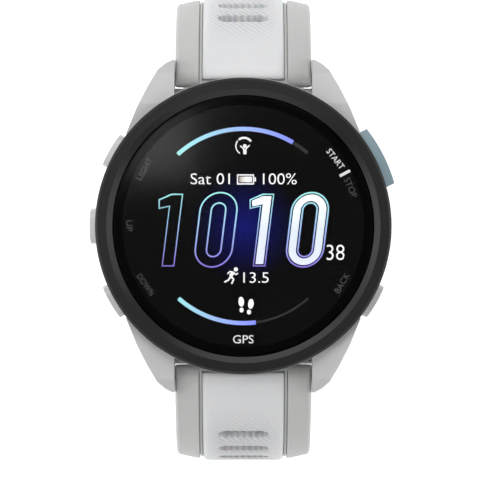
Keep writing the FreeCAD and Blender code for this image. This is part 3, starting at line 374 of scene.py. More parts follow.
def brushedFinish(name, color, tint, gloss, matt):
    finish, tree, shader, place = startFinish(name)
    stretch = addNode(tree, "Mapping")
    stretch.inputs["Scale"].default_value = (0.04, 1.0, 1.0)
    tree.links.new(place, stretch.inputs["Vector"])
    grain = placeGroup(tree, mouldedGrain, Place=stretch.outputs["Vector"], Color=color, Tint=tint,
                       Grain_Scale=9000.0, Patch_Scale=900.0, Gloss=gloss, Matt=matt)
    wear = placeGroup(tree, handlingWear, Place=place, Length=1800.0, Amount=0.2)
    tree.links.new(mixColor(tree, wear.outputs["Scratch"], grain.outputs["Color"], tint),
                   shader.inputs["Base Color"])
    tree.links.new(mathNode(tree, "ADD", grain.outputs["Roughness"], wear.outputs["Rub"]),
                   shader.inputs["Roughness"])
    addBump(tree, shader, grain.outputs["Height"], 0.25, 0.000008)
    shader.inputs["Metallic"].default_value = 1.0
    return finish


def boardFinish():
    # solder mask over copper tracks
    finish, tree, shader, place = startFinish("boardGreen")
    tracks = addNode(tree, "TexBrick")
    tracks.inputs["Scale"].default_value = 900.0
    tracks.inputs["Color1"].default_value = (0.006, 0.07, 0.035, 1.0)
    tracks.inputs["Color2"].default_value = (0.01, 0.1, 0.05, 1.0)
    tracks.inputs["Mortar"].default_value = (0.05, 0.24, 0.1, 1.0)
    tracks.inputs["Mortar Size"].default_value = 0.04
    tree.links.new(place, tracks.inputs["Vector"])
    grain = placeGroup(tree, mouldedGrain, Place=place, Color=gray(0.5), Tint=gray(0.6), Grain_Scale=5000.0,
                       Patch_Scale=200.0, Gloss=0.3, Matt=0.5)
    tree.links.new(tracks.outputs["Color"], shader.inputs["Base Color"])
    tree.links.new(grain.outputs["Roughness"], shader.inputs["Roughness"])
    height = mathNode(tree, "MULTIPLY_ADD", tracks.outputs["Fac"], 0.6, grain.outputs["Height"])
    addBump(tree, shader, height, 0.4, 0.00002)
    return finish


finishes = {
    "case_polymer": mouldedFinish("casePolymer", {
        "color": (0.60, 0.60, 0.595, 1.0), "tint": (0.55, 0.55, 0.55, 1.0), "gloss": 0.38, "matt": 0.52,
        "under": 0.05, "wear": 0.05}),
    "bezel_polymer": bezelFinish(),
    "cover_glass": glassFinish("coverGlass", (1.0, 1.0, 1.0, 1.0), 0.06),
    "display": displayFinish(),
    "silicone_grey": mouldedFinish("siliconeGrey", {
        "color": (0.575, 0.575, 0.565, 1.0), "tint": (0.53, 0.53, 0.525, 1.0), "gloss": 0.48, "matt": 0.66,
        "sheen": 0.15, "under": 0.1, "wear": 0.04, "bump": 0.3}),
    "silicone_white": strapCentreFinish(),
    "cap_grey": mouldedFinish("capGrey", {
        "color": (0.56, 0.56, 0.56, 1.0), "tint": (0.62, 0.62, 0.62, 1.0), "gloss": 0.25, "matt": 0.38,
        "coat": 0.2, "wear": 0.1}),
    "cap_blue_grey": mouldedFinish("capBlueGrey", {
        "color": (0.235, 0.335, 0.385, 1.0), "tint": (0.28, 0.38, 0.43, 1.0), "gloss": 0.3, "matt": 0.42,
        "coat": 0.1, "wear": 0.1}),
    "seal_rubber": mouldedFinish("sealRubber", {
        "color": gray(0.018), "tint": gray(0.035), "gloss": 0.5, "matt": 0.75, "bump": 0.4}),
    "steel": brushedFinish("brushedSteel", (0.56, 0.56, 0.57, 1.0), (0.72, 0.72, 0.73, 1.0), 0.22, 0.4),
    "board_green": boardFinish(),
    "flex_amber": mouldedFinish("flexAmber", {
        "color": (0.42, 0.17, 0.025, 1.0), "tint": (0.55, 0.26, 0.05, 1.0), "gloss": 0.3, "matt": 0.45,
        "coat": 0.3}),
    "brass_gold": brushedFinish("brassGold", (0.72, 0.50, 0.18, 1.0), (0.86, 0.66, 0.30, 1.0), 0.2, 0.38),
    "black_plastic": mouldedFinish("blackPlastic", {
        "color": gray(0.016), "tint": gray(0.03), "gloss": 0.4, "matt": 0.6, "bump": 0.35}),
    "battery_foil": mouldedFinish("batteryFoil", {
        "color": (0.62, 0.62, 0.64, 1.0), "tint": (0.74, 0.74, 0.75, 1.0), "gloss": 0.2, "matt": 0.5,
        "metal": 0.9, "grain": 900.0, "depth": 0.0001, "bump": 0.5}),
    "sensor_glass": mouldedFinish("sensorGlass", {
        "color": gray(0.01), "tint": (0.016, 0.014, 0.022, 1.0), "gloss": 0.04, "matt": 0.1, "coat": 1.0,
        "bump": 0.02}),
    "led_green": mouldedFinish("ledGreen", {
        "color": (0.08, 0.5, 0.12, 1.0), "tint": (0.2, 0.75, 0.25, 1.0), "gloss": 0.1, "matt": 0.25,
        "coat": 0.8}),
    "diode_dark": mouldedFinish("diodeDark", {
        "color": (0.02, 0.012, 0.05, 1.0), "tint": (0.05, 0.03, 0.1, 1.0), "gloss": 0.1, "matt": 0.25,
        "coat": 0.8}),
}

for name, slotName in slotOf.items():
    nodes[name].data.materials.clear()
    nodes[name].data.materials.append(finishes[slotName])
print("finishes:", len(finishes))


# modelling helpers

def pickOnly(thing):
    bpy.ops.object.select_all(action="DESELECT")
    thing.select_set(True)
    bpy.context.view_layer.objects.active = thing


def editMesh(thing, work):
    # runs work on the mesh with nothing selected
    pickOnly(thing)
    bpy.ops.object.mode_set(mode="EDIT")
    bpy.ops.mesh.select_all(action="DESELECT")
    work()
    bpy.ops.object.mode_set(mode="OBJECT")


def tidyFaces(thing, gap=1e-6):
    def work():
        bpy.ops.mesh.select_all(action="SELECT")
        bpy.ops.mesh.remove_doubles(threshold=gap)
        bpy.ops.mesh.normals_make_consistent(inside=False)
    editMesh(thing, work)


def applyAll(thing):
    pickOnly(thing)
    for modifier in list(thing.modifiers):
        bpy.ops.object.modifier_apply(modifier=modifier.name)


def placeInMesh(thing):
    thing.data.transform(thing.matrix_world)
    thing.matrix_world = Matrix.Identity(4)


def smoothBy(thing, degrees):
    pickOnly(thing)
    bpy.ops.object.shade_smooth_by_angle(angle=math.radians(degrees))


def settle(thing, name, body, slotName, finish=None, stands=()):
    # a finished piece: named, painted, riding on its body
    thing.name = name
    thing.data.name = name
    thing.data.materials.clear()
    thing.data.materials.append(finish or finishes[slotName])
    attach(thing, body)
    if stands:
        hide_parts(*stands)
    return thing


def joinAll(things):
    pickOnly(things[0])
    for thing in things:
        thing.select_set(True)
    bpy.ops.object.join()
    return things[0]


def softened(node, body, width, angle=28):
    # the CAD node's own shape with its sharp edges eased
    piece = nodes[node].copy()
    piece.data = nodes[node].data.copy()
    for key in list(piece.keys()):
        del piece[key]
    piece.parent = None
    piece.matrix_world = Matrix.Identity(4)
    bpy.context.scene.collection.objects.link(piece)

    def work():
        bpy.ops.mesh.select_all(action="SELECT")
        bpy.ops.mesh.remove_doubles(threshold=2e-6)
        bpy.ops.mesh.dissolve_limited(angle_limit=math.radians(0.5))
    editMesh(piece, work)
    ease = piece.modifiers.new("ease", "BEVEL")
    ease.width = width
    ease.segments = 3
    ease.limit_method = "ANGLE"
    ease.angle_limit = math.radians(angle)
    ease.harden_normals = False
    applyAll(piece)
    smoothBy(piece, 35)
    return settle(piece, node + ".eased", body, slotOf[node], None, [node])


# the two straps

strapLook = {
    "slope": 29.0, "boss": 2.0, "loopRadius": 47.95, "shortRadius": 44.95, "loopRise": 3.5,
    "tailReach": 28.0, "buckleReach": 10.0, "taperDrop": 18.5, "taperPast": 3.0,
    "thickness": 2.2, "rootWidth": 20.0, "buckleWidth": 18.0, "crown": 0.75, "edgeRound": 0.9,
    "centreWidth": 12.0, "groove": 0.55, "grooveFloor": 0.3, "grooveLine": 0.62, "channel": 0.9,
    "proud": 0.3, "shoulder": 1.1, "bed": 0.55, "tipRound": 6.0, "railLeast": 0.5,
    "centreWrap": 1.0, "centreEnd": 4.0, "wrapPlay": 0.3, "firstSlot": 10.05,
    "slotLength": 7.5, "slotHeight": 2.0, "slotPitch": 4.45, "lobes": 5, "lobeDepth": 0.16,
    "rimReach": 0.45, "rimDip": 0.16, "cutterHeight": 6.0, "sidePlay": 0.04,
    "step": 0.4, "fineStep": 0.1, "fineStart": 1.6, "fineEnd": 1.2,
}
hinge = Vector(joints["upper_strap_swing"]["pos_m"]) / mm
pinPlace = Vector((hinge.y, hinge.z))
loopCentre = Vector((0.0, hinge.z + strapLook["loopRise"]))
lugTurn = math.radians(strapLook["slope"])
lugOut = Vector((math.sin(lugTurn), math.cos(lugTurn)))


class StrapRun:
    # the outer face of a strap seen from the side: round the pin, one arc from the lug, then the bottom arc
    def __init__(self, bottomRadius, pastBottom):
        self.bottom = bottomRadius
        start = pinPlace + lugOut * strapLook["boss"]
        away = start - loopCentre
        self.side = (bottomRadius ** 2 - away.dot(away)) / (2 * (bottomRadius - lugOut.dot(away)))
        self.centre = start - lugOut * self.side
        turn = (self.centre - loopCentre).normalized()
        self.first = math.atan2(lugOut.y, lugOut.x)
        self.turnAt = math.atan2(turn.y, turn.x)
        self.sideLength = self.side * (self.first - self.turnAt)
        past = pastBottom / strapLook["loopRadius"]
        self.length = self.sideLength + bottomRadius * (self.turnAt + math.pi / 2 + past)

    def at(self, along):
        # middle of the turn, its radius and the outward direction, for a distance along the outer face
        if along < 0:
            angle = self.first - along / strapLook["boss"]
            return pinPlace, strapLook["boss"], Vector((math.cos(angle), math.sin(angle)))
        if along < self.sideLength:
            angle = self.first - along / self.side
            return self.centre, self.side, Vector((math.cos(angle), math.sin(angle)))
        angle = self.turnAt - (along - self.sideLength) / self.bottom
        return loopCentre, self.bottom, Vector((math.cos(angle), math.sin(angle)))

    def bend(self, across, along, out, flip, straightEnd):
        centre, radius, outward = self.at(along)
        spot = centre + outward * (radius + out)
        if along < 0 and straightEnd:
            # the base is drawn square to the lug's slope where it rounds the pin
            forward = Vector((lugOut.y, -lugOut.x))
            spot = pinPlace + lugOut * (strapLook["boss"] + out) + forward * along
        return Vector((across * flip, spot.x * flip, spot.y)) * mm

    def thick(self, along):
        share = min(max(along / self.sideLength, 0.0), 1.0)
        fall = share * share * (3 - 2 * share)
        return 2 * strapLook["boss"] + (strapLook["thickness"] - 2 * strapLook["boss"]) * fall

    def halfWidth(self, along):
        centre, radius, outward = self.at(max(along, 0.0))
        height = (centre + outward * radius).y
        top = pinPlace.y - strapLook["taperDrop"]
        low = loopCentre.y - strapLook["loopRadius"] - strapLook["taperPast"]
        share = min(max((top - height) / (top - low), 0.0), 1.0)
        return (strapLook["rootWidth"] - (strapLook["rootWidth"] - strapLook["buckleWidth"]) * share) / 2


longRun = StrapRun(strapLook["loopRadius"], strapLook["tailReach"])
shortRun = StrapRun(strapLook["shortRadius"], strapLook["buckleReach"])


def wrapTurn(behind):
    # how far round the pin from the lug's slope a point this far behind the pin lies
    return math.pi / 2 + math.asin(behind / strapLook["boss"]) - math.atan2(lugOut.y, lugOut.x)


def channelDepth(along, stop):
    # depth of the channel under the strap centre, also where it follows the round of the pin
    look = strapLook
    if along >= 0:
        return look["channel"] if along < stop else 0.0
    turn = wrapTurn(look["centreWrap"] + look["wrapPlay"])
    inner = look["boss"] - look["channel"]
    face = math.sqrt(max(look["boss"] ** 2 - along ** 2, 0.0))
    if along <= -look["boss"] * math.sin(turn):
        return 0.0
    if along < -inner * math.sin(turn):
        return face + along / math.tan(turn)
    return face - math.sqrt(inner ** 2 - along ** 2)


def stations(first, last, step):
    count = max(2, round((last - first) / step))
    return [first + (last - first) * i / count for i in range(count + 1)]


def easeOut(share, power=3.0):
    # a rounded corner: 1 at share 0, 0 at share 1
    return (1 - min(abs(share), 1.0) ** power) ** (1 / power)


def sheetOf(name, rows):
    # a fine grid whose points are then moved on to the given rows
    bpy.ops.object.select_all(action="DESELECT")
    across = len(rows[0])
    bpy.ops.mesh.primitive_grid_add(x_subdivisions=across - 1, y_subdivisions=len(rows) - 1, size=1)
    sheet = bpy.context.object
    sheet.name = name
    for i, vertex in enumerate(sheet.data.vertices):
        vertex.co = rows[i // across][i % across]
    return sheet


def roundRim(spots, x, y):
    # the face dips a little towards the rim of every slot
    look = strapLook
    straight = (look["slotLength"] - look["slotHeight"]) / 2
    near = min(abs(y - spot) for spot in spots)
    gap = math.hypot(max(abs(x) - straight, 0.0), near) - look["slotHeight"] / 2
    share = min(max(1 - gap / look["rimReach"], 0.0), 1.0)
    return -look["rimDip"] * share * share


def baseSection(run, along, spots, inlayTo):
    # half of the grey base's outline, from the channel out over the rail and back under, then mirrored
    look = strapLook
    half = run.halfWidth(along)
    thick = run.thick(along)
    inner = look["centreWidth"] / 2 + look["groove"]
    lift = 0.0
    if along < 0:
        share = easeOut(along / look["boss"], 2.0)
        lift = -(1 - share) * look["boss"]
        thick = thick * share
    toTip = run.length - along
    tip = look["tipRound"]
    if run is longRun and toTip < tip:
        half -= tip - math.sqrt(max(tip ** 2 - (tip - toTip) ** 2, 0.0))
    rim = look["edgeRound"]
    inner = min(inner, half - rim - look["railLeast"])
    floor = channelDepth(along, inlayTo + look["groove"])
    edgeDrop = look["crown"] * min(1.0, thick / look["thickness"])
    points = []
    for i in range(9):
        x = inner + (half - rim - inner) * i / 8
        drop = edgeDrop * ((x - inner) / (half - inner)) ** 1.3
        points.append((x, lift - drop))
    topEdge = points[-1][1]
    bottomEdge = lift - thick
    middle = (topEdge + bottomEdge) / 2
    rise = (topEdge - bottomEdge) / 2
    for i in range(1, 12):
        turn = math.pi / 2 - math.pi * i / 12
        bulge = abs(math.cos(turn)) ** 0.7 * rim
        climb = math.copysign(abs(math.sin(turn)) ** 0.7, math.sin(turn))
        points.append((half - rim + bulge, middle + rise * climb))
    under = [((half - rim) * (1 - i / 6), bottomEdge) for i in range(7)]
    edge = min(look["centreWidth"] / 2 + look["sidePlay"], inner * 0.93)
    channel = [(edge * i / 8, -floor + lift + roundRim(spots, edge * i / 8, along)) for i in range(9)]
    shallow = min(floor, look["grooveFloor"])
    deep = min(floor, look["grooveLine"])
    width = inner - edge
    channel += [(edge + width * 0.06, lift - shallow - 0.04), (edge + width * 0.35, lift - shallow),
                (edge + width * 0.7, lift - shallow - 0.02), (edge + width * 0.76, lift - deep),
                (edge + width * 0.94, lift - deep)]
    right = channel + points + under
    left = [(-x, z) for x, z in reversed(right[1:-1])]
    loop = right + left
    loop.append(loop[0])
    return [Vector((x, along, z)) for x, z in loop]


def inlaySection(along, spots, inlayFrom, inlayTo):
    # the white centre's outline: domed on top, flat where it lies in the channel
    look = strapLook
    half = look["centreWidth"] / 2
    end = min(along - inlayFrom, inlayTo - along)
    endEase = easeOut(1 - end / look["shoulder"], 2.5) if end < look["shoulder"] else 1.0
    points = []
    for i in range(49):
        x = half * math.sin(math.pi * (i / 48 - 0.5))
        side = (half - abs(x)) / look["shoulder"]
        sideEase = easeOut(1 - side, 2.5) if side < 1 else 1.0
        rise = (look["proud"] + look["bed"]) * sideEase * endEase - look["bed"]
        points.append((x, rise + roundRim(spots, x, along)))
    floor = -look["channel"] - 0.05
    under = [(half - look["centreWidth"] * i / 10, floor) for i in range(11)]
    loop = points + under
    loop.append(loop[0])
    return [Vector((x, along, z)) for x, z in loop]


def slotCutter(spots):
    # scalloped round-ended openings, all cut in one go
    look = strapLook
    half = look["slotLength"] / 2
    rise = look["slotHeight"] / 2
    straight = half - rise + look["lobeDepth"]
    outline = []
    steps = 50
    for side in (1, -1):
        for i in range(steps + 1):
            x = side * straight * (1 - 2 * i / steps)
            lobe = 0.5 - 0.5 * math.cos(math.tau * look["lobes"] * i / steps)
            outline.append((x, side * (rise - look["lobeDepth"] + look["lobeDepth"] * lobe)))
        for i in range(1, 10):
            turn = side * math.pi / 2 + math.pi * i / 10
            tight = rise - look["lobeDepth"]
            outline.append((-side * straight + tight * math.cos(turn), tight * math.sin(turn)))
    curve = bpy.data.curves.new("slotOutline", "CURVE")
    curve.dimensions = "2D"
    curve.fill_mode = "BOTH"
    curve.extrude = look["cutterHeight"]
    line = curve.splines.new("POLY")
    line.points.add(len(outline) - 1)
    line.use_cyclic_u = True
    for point, (x, y) in zip(line.points, outline):
        point.co = (x, y, 0.0, 1.0)
    cutter = bpy.data.objects.new("slotCutter", curve)
    bpy.context.scene.collection.objects.link(cutter)
    pickOnly(cutter)
    bpy.ops.object.convert(target="MESH")
    copies = []
    for spot in spots:
        piece = cutter.copy()
        piece.data = cutter.data.copy()
        piece.data.transform(Matrix.Translation((0.0, spot, 0.0)))
        bpy.context.scene.collection.objects.link(piece)
        copies.append(piece)
    bpy.data.objects.remove(cutter)
    cutters = joinAll(copies)
    tidyFaces(cutters, 1e-5)
    return cutters


def cutSlots(piece, spots):
    cutters = slotCutter(spots)
    cut = piece.modifiers.new("slots", "BOOLEAN")
    cut.operation = "DIFFERENCE"
    cut.solver = "EXACT"
    cut.object = cutters
    applyAll(piece)
    bpy.data.objects.remove(cutters)


def keepFlatPlace(piece):
    # the flat place of each point, in metres, for patterns that follow the strap
    layer = piece.data.uv_layers.new(name="flatPlace")
    for loop in piece.data.loops:
        spot = piece.data.vertices[loop.vertex_index].co
        layer.data[loop.index].uv = (spot.x * mm, spot.y * mm)


def makeStrap(name, body, run, slotCount, flip):
    look = strapLook
    spots = [look["firstSlot"] + look["slotPitch"] * i for i in range(slotCount)]
    inlayFrom = -look["boss"] * wrapTurn(look["centreWrap"])
    inlayTo = run.length - run.bottom * (look["centreEnd"] + look["groove"]) / look["loopRadius"]
    roundEnd = [-look["boss"] * math.cos(math.pi / 2 * i / 16) for i in range(16)]
    step = look["step"]
    fine = look["fineStep"]
    tipStart = run.length - look["fineEnd"]
    baseSpots = roundEnd + stations(0.0, tipStart, step)[:-1] + stations(tipStart, run.length, fine)
    domeEnd = inlayFrom + look["fineStart"]
    domeStart = inlayTo - look["fineEnd"]
    centreSpots = stations(inlayFrom, domeEnd, fine)[:-1] + stations(domeEnd, domeStart, step)[:-1]
    centreSpots += stations(domeStart, inlayTo, fine)
    baseRows = [baseSection(run, along, spots, inlayTo) for along in baseSpots]
    inlayRows = [inlaySection(along, spots, inlayFrom, inlayTo) for along in centreSpots]
    for part, rows in (("base", baseRows), ("inlay", inlayRows)):
        piece = sheetOf(name + "_" + part, rows)
        tidyFaces(piece, 1e-4)

        def closeEnds():
            bpy.ops.mesh.select_non_manifold(extend=False)
            bpy.ops.mesh.fill_holes(sides=0)
        editMesh(piece, closeEnds)
        tidyFaces(piece, 1e-4)
        cutSlots(piece, spots)
        if piece.data.uv_layers:
            piece.data.uv_layers.remove(piece.data.uv_layers[0])
        keepFlatPlace(piece)
        for vertex in piece.data.vertices:
            vertex.co = run.bend(vertex.co.x, vertex.co.y, vertex.co.z, flip, part == "base")
        tidyFaces(piece, 1e-7)
        smoothBy(piece, 50)
        node = name + "_" + part
        settle(piece, node + ".moulded", body, slotOf[node], None, [node])


makeStrap("lower_strap", "lower_strap", longRun, 19, -1)
makeStrap("upper_strap", "upper_strap", shortRun, 5, 1)
softened("fixed_keeper", "upper_strap", 0.0005)
softened("free_keeper", "free_keeper", 0.0005)
softened("buckle_frame", "buckle_frame", 0.00045)
softened("buckle_tongue", "buckle_tongue", 0.0003)
for button in ("start_stop", "light", "up", "down", "back"):
    softened(button + "_button", button + "_button", 0.00022)
print("straps moulded, edges eased")


# the watch face, lit under the glass

faceLook = {"lift": 0.03, "slant": 7.0, "line": 0.22, "arcRadius": 14.1, "arcWidth": 0.6}
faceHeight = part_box("display_panel")[1].z / mm + faceLook["lift"]
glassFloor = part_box("lens")[0].z / mm

teal = (0.30, 0.68, 0.66, 1.0)
sky = (0.28, 0.42, 0.72, 1.0)
violet = (0.20, 0.13, 0.55, 1.0)
paleWhite = (0.82, 0.86, 0.88, 1.0)

faceInk = {
    "digitLine": fadedFinish("digitLine", [violet, sky, teal], -0.006, 0.005, "Y", 1.0),
    "digitFill": fadedFinish("digitFill", [(0.62, 0.66, 0.85, 1.0), (0.6, 0.66, 0.72, 1.0), paleWhite],
                             -0.006, 0.005, "Y", 1.0),
    "arc": fadedFinish("gaugeArc", [teal, sky, (0.2, 0.22, 0.85, 1.0)], -0.010, 0.008, "X", 1.0),
    "lowArc": fadedFinish("stepArc", [teal, sky, (0.2, 0.22, 0.85, 1.0)], -0.0105, 0.002, "X", 1.0),
    "white": printedFinish("litWhite", (0.8, 0.8, 0.8, 1.0), 1.0),
    "dim": printedFinish("litDim", gray(0.028), 1.0),
    "mask": printedFinish("maskBlack", gray(0.0004)),
    # painted light: the printed button words glow though they are only ink
    "legend": printedFinish("legendGreyPaintedGlow", gray(0.10), 0.6),
    "legendWhitePaintedGlow": printedFinish("legendWhitePaintedGlow", gray(0.75), 0.7),
    "batteryFill": fadedFinish("batteryFill", [gray(0.25, 0.02), gray(0.55, 0.03), gray(0.8)],
                               -0.0007, 0.0006, "X", 1.0),
}


def arcPoints(x, y, radius, first, last, count=48):
    spots = []
    for i in range(count + 1):
        turn = math.radians(first + (last - first) * i / count)
        spots.append((x + radius * math.cos(turn), y + radius * math.sin(turn)))
    return spots


def flatLoop(name, loops, closed=True, width=0.0):
    # filled outlines, or lines of the given width, in the face plane
    curve = bpy.data.curves.new(name, "CURVE")
    curve.dimensions = "3D" if width else "2D"
    if width:
        curve.bevel_depth = width / 2
        curve.bevel_resolution = 2
        curve.use_fill_caps = True
    else:
        curve.fill_mode = "BOTH"
        curve.extrude = 0.1
    for loop in loops:
        line = curve.splines.new("POLY")
        line.points.add(len(loop) - 1)
        line.use_cyclic_u = closed
        for point, (x, y) in zip(line.points, loop):
            point.co = (x, y, 0.0, 1.0)
    thing = bpy.data.objects.new(name, curve)
    bpy.context.scene.collection.objects.link(thing)
    pickOnly(thing)
    bpy.ops.object.convert(target="MESH")
    thing.data.transform(Matrix.Scale(0.12, 4, (0, 0, 1)))
    return thing


def written(text, left, right, low, high, bold=0.0):
    # lettering fitted into a box of the face plane
    bpy.ops.object.select_all(action="DESELECT")
    bpy.ops.object.text_add(location=(0, 0, 0))
    thing = bpy.context.object
    thing.data.body = text
    thing.data.extrude = 0.012
    thing.data.offset = bold
    thing.data.resolution_u = 4
    bpy.ops.object.convert(target="MESH")
    spots = [vertex.co for vertex in thing.data.vertices]
    x0 = min(spot.x for spot in spots)
    x1 = max(spot.x for spot in spots)
    y0 = min(spot.y for spot in spots)
    y1 = max(spot.y for spot in spots)
    for spot in spots:
        spot.x = left + (spot.x - x0) * (right - left) / (x1 - x0)
        spot.y = low + (spot.y - y0) * (high - low) / (y1 - y0)
    return thing


def turnFlat(thing, degrees, x, y):
    thing.data.transform(Matrix.Translation((x, y, 0.0)) @ Matrix.Rotation(math.radians(degrees), 4, "Z"))
    return thing


def lay(things, name, ink, height=None):
    thing = joinAll(things) if len(things) > 1 else things[0]
    thing.data.transform(Matrix.Translation((0.0, 0.0, faceHeight if height is None else height)))
    thing.data.transform(Matrix.Scale(mm, 4))
    tidyFaces(thing, 1e-8)
    return settle(thing, name, "case", "display", faceInk[ink])


def slanted(loop, middle):
    lean = math.tan(math.radians(faceLook["slant"]))
    return [(x + lean * (y - middle), y) for x, y in loop]


def digitOne(left, grow=0.0):
    # stem with a flag, standing on its foot
    foot = -5.8
    look = {"stem": 1.68, "height": 10.4, "flag": 1.62, "flagTop": 9.6, "flagLow": 8.35, "throat": 8.7}
    right = left + look["stem"]
    outline = [
        (left - grow, foot - grow), (right + grow, foot - grow),
        (right + grow, foot + look["height"] + grow), (left + 0.1, foot + look["height"] + grow),
        (left - look["flag"] - grow, foot + look["flagTop"] + grow * 0.5),
        (left - look["flag"] + 0.15 - grow, foot + look["flagLow"] - grow),
        (left - grow, foot + look["throat"] - grow),
    ]
    return slanted(outline, foot)


def digitNought(x, grow=0.0):
    # two round-ended outlines, one inside the other
    middle = -0.55
    loops = []
    for half, rise in ((2.68 + grow, 5.4 + grow), (1.05 - grow, 3.9 - grow)):
        loop = arcPoints(x, middle + rise - half, half, 0, 180, 24)
        loop += arcPoints(x, middle - rise + half, half, 180, 360, 24)
        loops.append(slanted(loop, middle))
    return loops


thin = faceLook["line"]
lines = [
    flatLoop("hourTens", [digitOne(-11.78)], True, thin),
    flatLoop("hourOnes", digitNought(-3.95), True, thin),
    flatLoop("minuteTens", [digitOne(1.45)], True, thin),
    flatLoop("minuteOnes", digitNought(9.32), True, thin),
]
lay(lines, "face_digit_lines", "digitLine", faceHeight + 0.02)
fills = [
    flatLoop("minuteTensFill", [digitOne(1.45, -0.28)]),
    flatLoop("minuteOnesFill", digitNought(9.32, -0.28)),
]
lay(fills, "face_digit_fills", "digitFill")


def band(name, first, last, width=faceLook["arcWidth"]):
    outer = faceLook["arcRadius"] + width / 2
    inner = faceLook["arcRadius"] - width / 2
    return flatLoop(name, [arcPoints(0, 0, outer, first, last) + arcPoints(0, 0, inner, last, first)])


lay([band("gaugeArc", 59.3, 132.5)], "face_top_arc", "arc")
lay([band("stepArc", -131.8, -82.6)], "face_low_arc", "lowArc")
lay([band("gaugeRest", 48.5, 58.6, 0.5), band("stepRest", -82.0, -48.0, 0.3)], "face_arc_rests", "dim")

status = [
    written("Sat 01", -7.65, -1.95, 6.05, 7.65, -0.006), written("100%", 2.85, 7.75, 6.03, 7.65, -0.006),
    written("13.5", 0.0, 3.68, -8.25, -6.72, -0.006), written("38", 12.1, 14.7, -4.95, -2.72, -0.008),
]
batteryFrame = [[(-0.92, 6.02), (1.55, 6.02), (1.55, 7.5), (-0.92, 7.5)],
                [(-0.75, 6.2), (-0.75, 7.32), (1.38, 7.32), (1.38, 6.2)]]
status.append(flatLoop("batteryFrame", batteryFrame))
status.append(flatLoop("batteryNub", [[(1.6, 6.45), (1.82, 6.45), (1.82, 7.07), (1.6, 7.07)]]))
charge = flatLoop("batteryCharge", [[(-0.6, 6.35), (1.22, 6.35), (1.22, 7.17), (-0.6, 7.17)]])
lay([charge], "face_battery_charge", "batteryFill")


def ovalPoints(x, y, wide, tall, lean=0.0, count=20):
    turn = math.radians(lean)
    spots = []
    for i in range(count):
        a = wide * math.cos(math.tau * i / count)
        b = tall * math.sin(math.tau * i / count)
        spots.append((x + a * math.cos(turn) - b * math.sin(turn),
                      y + a * math.sin(turn) + b * math.cos(turn)))
    return spots


# energy gauge: an open dial with a small figure
figure = [
    flatLoop("dialArc", [arcPoints(0.12, 11.6, 1.2, 35, 130, 16)], False, 0.3),
    flatLoop("dialLow", [arcPoints(0.12, 11.6, 1.2, 140, 240, 16)], False, 0.17),
    flatLoop("figureHead", [ovalPoints(0.22, 11.62, 0.27, 0.27)]),
    flatLoop("figureArms", [[(-0.45, 11.65), (0.22, 11.05), (0.92, 11.75)]], False, 0.2),
    flatLoop("figureBody", [[(0.0, 11.1), (0.02, 10.42), (0.44, 10.42), (0.46, 11.1)]]),
]
# runner, leaning forward
runner = [
    flatLoop("runnerHead", [ovalPoints(-1.08, -6.3, 0.3, 0.3)]),
    flatLoop("runnerTrunk", [[(-1.5, -6.7), (-1.85, -7.35)]], False, 0.5),
    flatLoop("runnerArms", [[(-2.3, -6.95), (-1.95, -6.6), (-1.45, -6.72), (-1.1, -7.05), (-0.75, -6.85)]],
             False, 0.2),
    flatLoop("runnerLegs", [[(-1.85, -7.35), (-1.4, -7.75), (-1.7, -8.4)]], False, 0.26),
    flatLoop("runnerBack", [[(-1.9, -7.4), (-2.15, -7.85), (-2.75, -8.15)]], False, 0.24),
]
steps = [
    flatLoop("soleLeft", [ovalPoints(-0.3, -11.0, 0.4, 0.72, 4)]),
    flatLoop("heelLeft", [ovalPoints(-0.25, -12.2, 0.3, 0.36)]),
    flatLoop("soleRight", [ovalPoints(1.1, -11.3, 0.4, 0.72, -6)]),
    flatLoop("heelRight", [ovalPoints(0.82, -12.5, 0.3, 0.36)]),
]
lay(status + figure + runner + steps, "face_status_signs", "white", faceHeight + 0.01)

# black border and button words just under the glass; the words glow as painted light in place of
# the light they would catch; each word has its place round the dial, its turn and its length
borderLook = {"window": 15.3, "inset": 0.05, "height": glassFloor - 0.09, "sides": 128}
sides = borderLook["sides"]
border = [arcPoints(0, 0, radius, 0, 360 - 360 / sides, sides - 1)
          for radius in (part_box("lens")[1].x / mm - borderLook["inset"], borderLook["window"])]
lay([flatLoop("border", border)], "glass_border", "mask", borderLook["height"])

legendLook = {"radius": 16.55, "tall": 0.88, "height": glassFloor - 0.05}
legends = {
    "LIGHT": (150, 60, 3.5), "UP": (180, -90, 1.6), "DOWN": (211, -55, 3.5), "STOP": (19.6, -67, 3.0),
    "BACK": (-30, 60, 3.1),
}
grey = []
for word, (angle, turn, length) in legends.items():
    sign = written(word, -length / 2, length / 2, -legendLook["tall"] / 2, legendLook["tall"] / 2, -0.008)
    grey.append(turnFlat(sign, turn, *arcPoints(0, 0, legendLook["radius"], angle, angle, 1)[0]))
lay(grey, "glass_legends", "legend", legendLook["height"])
bright = [written("START", -1.7, 1.7, -0.44, 0.44, 0.0)]
turnFlat(bright[0], -52, *arcPoints(0, 0, legendLook["radius"], 36, 36, 1)[0])
bar = flatLoop("divider", [[(-0.85, 0.0), (0.85, 0.0)]], False, 0.42)
bright.append(turnFlat(bar, 27.5, 14.75, 7.65))
bright.append(written("GPS", -1.5, 1.5, -17.05, -15.85, 0.004))
lay(bright, "glass_bright_legends", "legendWhitePaintedGlow", legendLook["height"])
print("face laid out")


# floor, light and camera

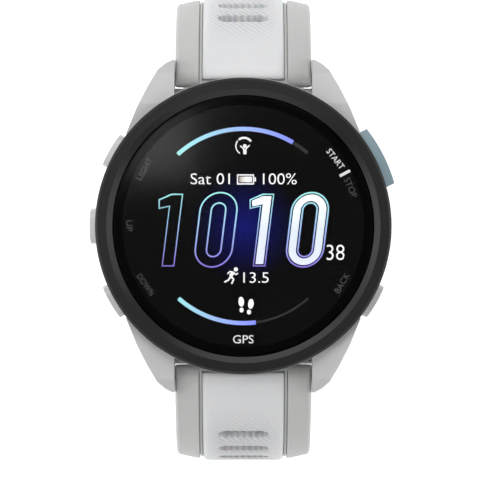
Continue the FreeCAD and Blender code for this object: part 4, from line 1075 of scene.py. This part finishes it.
bpy.ops.object.select_all(action="DESELECT")
bpy.ops.mesh.primitive_plane_add(size=8, location=(0, 0, cadLow.z))
floor = bpy.context.object
floor.name = "floor"
placeInMesh(floor)
floorFinish, floorTree, floorShader, floorPlace = startFinish("paleFloor")
floorShade = mixColor(floorTree, noiseNode(floorTree, floorPlace, 12.0), gray(0.86), gray(0.9))
floorTree.links.new(floorShade, floorShader.inputs["Base Color"])
floorTree.links.new(floorShade, floorShader.inputs["Emission Color"])
floorShader.inputs["Emission Strength"].default_value = 0.55
floorShader.inputs["Roughness"].default_value = 0.8
floor.data.materials.append(floorFinish)

world = bpy.data.worlds.new("studio")
bpy.context.scene.world = world
world.use_nodes = True
world.node_tree.nodes["Background"].inputs["Color"].default_value = (1.0, 1.0, 1.0, 1.0)
world.node_tree.nodes["Background"].inputs["Strength"].default_value = 0.06
bpy.context.scene.view_settings.view_transform = "Standard"


def softbox(name, place, target, width, height, power):
    lamp = bpy.data.lights.new(name, "AREA")
    lamp.shape = "RECTANGLE"
    lamp.size = width
    lamp.size_y = height
    lamp.energy = power
    thing = bpy.data.objects.new(name, lamp)
    bpy.context.scene.collection.objects.link(thing)
    thing.location = place
    thing.rotation_euler = (Vector(target) - Vector(place)).to_track_quat("-Z", "Y").to_euler()
    return thing


softbox("topBox", (-0.12, 0.62, 0.85), (0, 0, -0.02), 1.1, 0.8, 6.0)
softbox("leftBox", (-0.85, 0.0, 0.6), (0, 0, -0.02), 0.8, 1.1, 4.6)
softbox("rightBox", (0.85, 0.0, 0.6), (0, 0, -0.02), 0.8, 1.1, 4.2)
softbox("lowBox", (0.0, -0.85, 0.6), (0, 0, -0.02), 1.1, 0.8, 2.8)
softbox("sheenCard", (-0.33, 0.33, 0.95), (-0.33, 0.33, 0), 0.62, 0.62, 0.9)

lens = bpy.data.cameras.new("camera")
lens.sensor_width = 36.0
lens.lens = 284.6
lens.shift_x = -0.0069
lens.shift_y = -0.0292
lens.clip_start = 0.05
lens.clip_end = 20.0
camera = bpy.data.objects.new("camera", lens)
bpy.context.scene.collection.objects.link(camera)
camera.location = (0.0, 0.0, 0.5611)
camera.rotation_euler = (0.0, 0.0, 0.0)
bpy.context.scene.camera = camera
print("stage set")
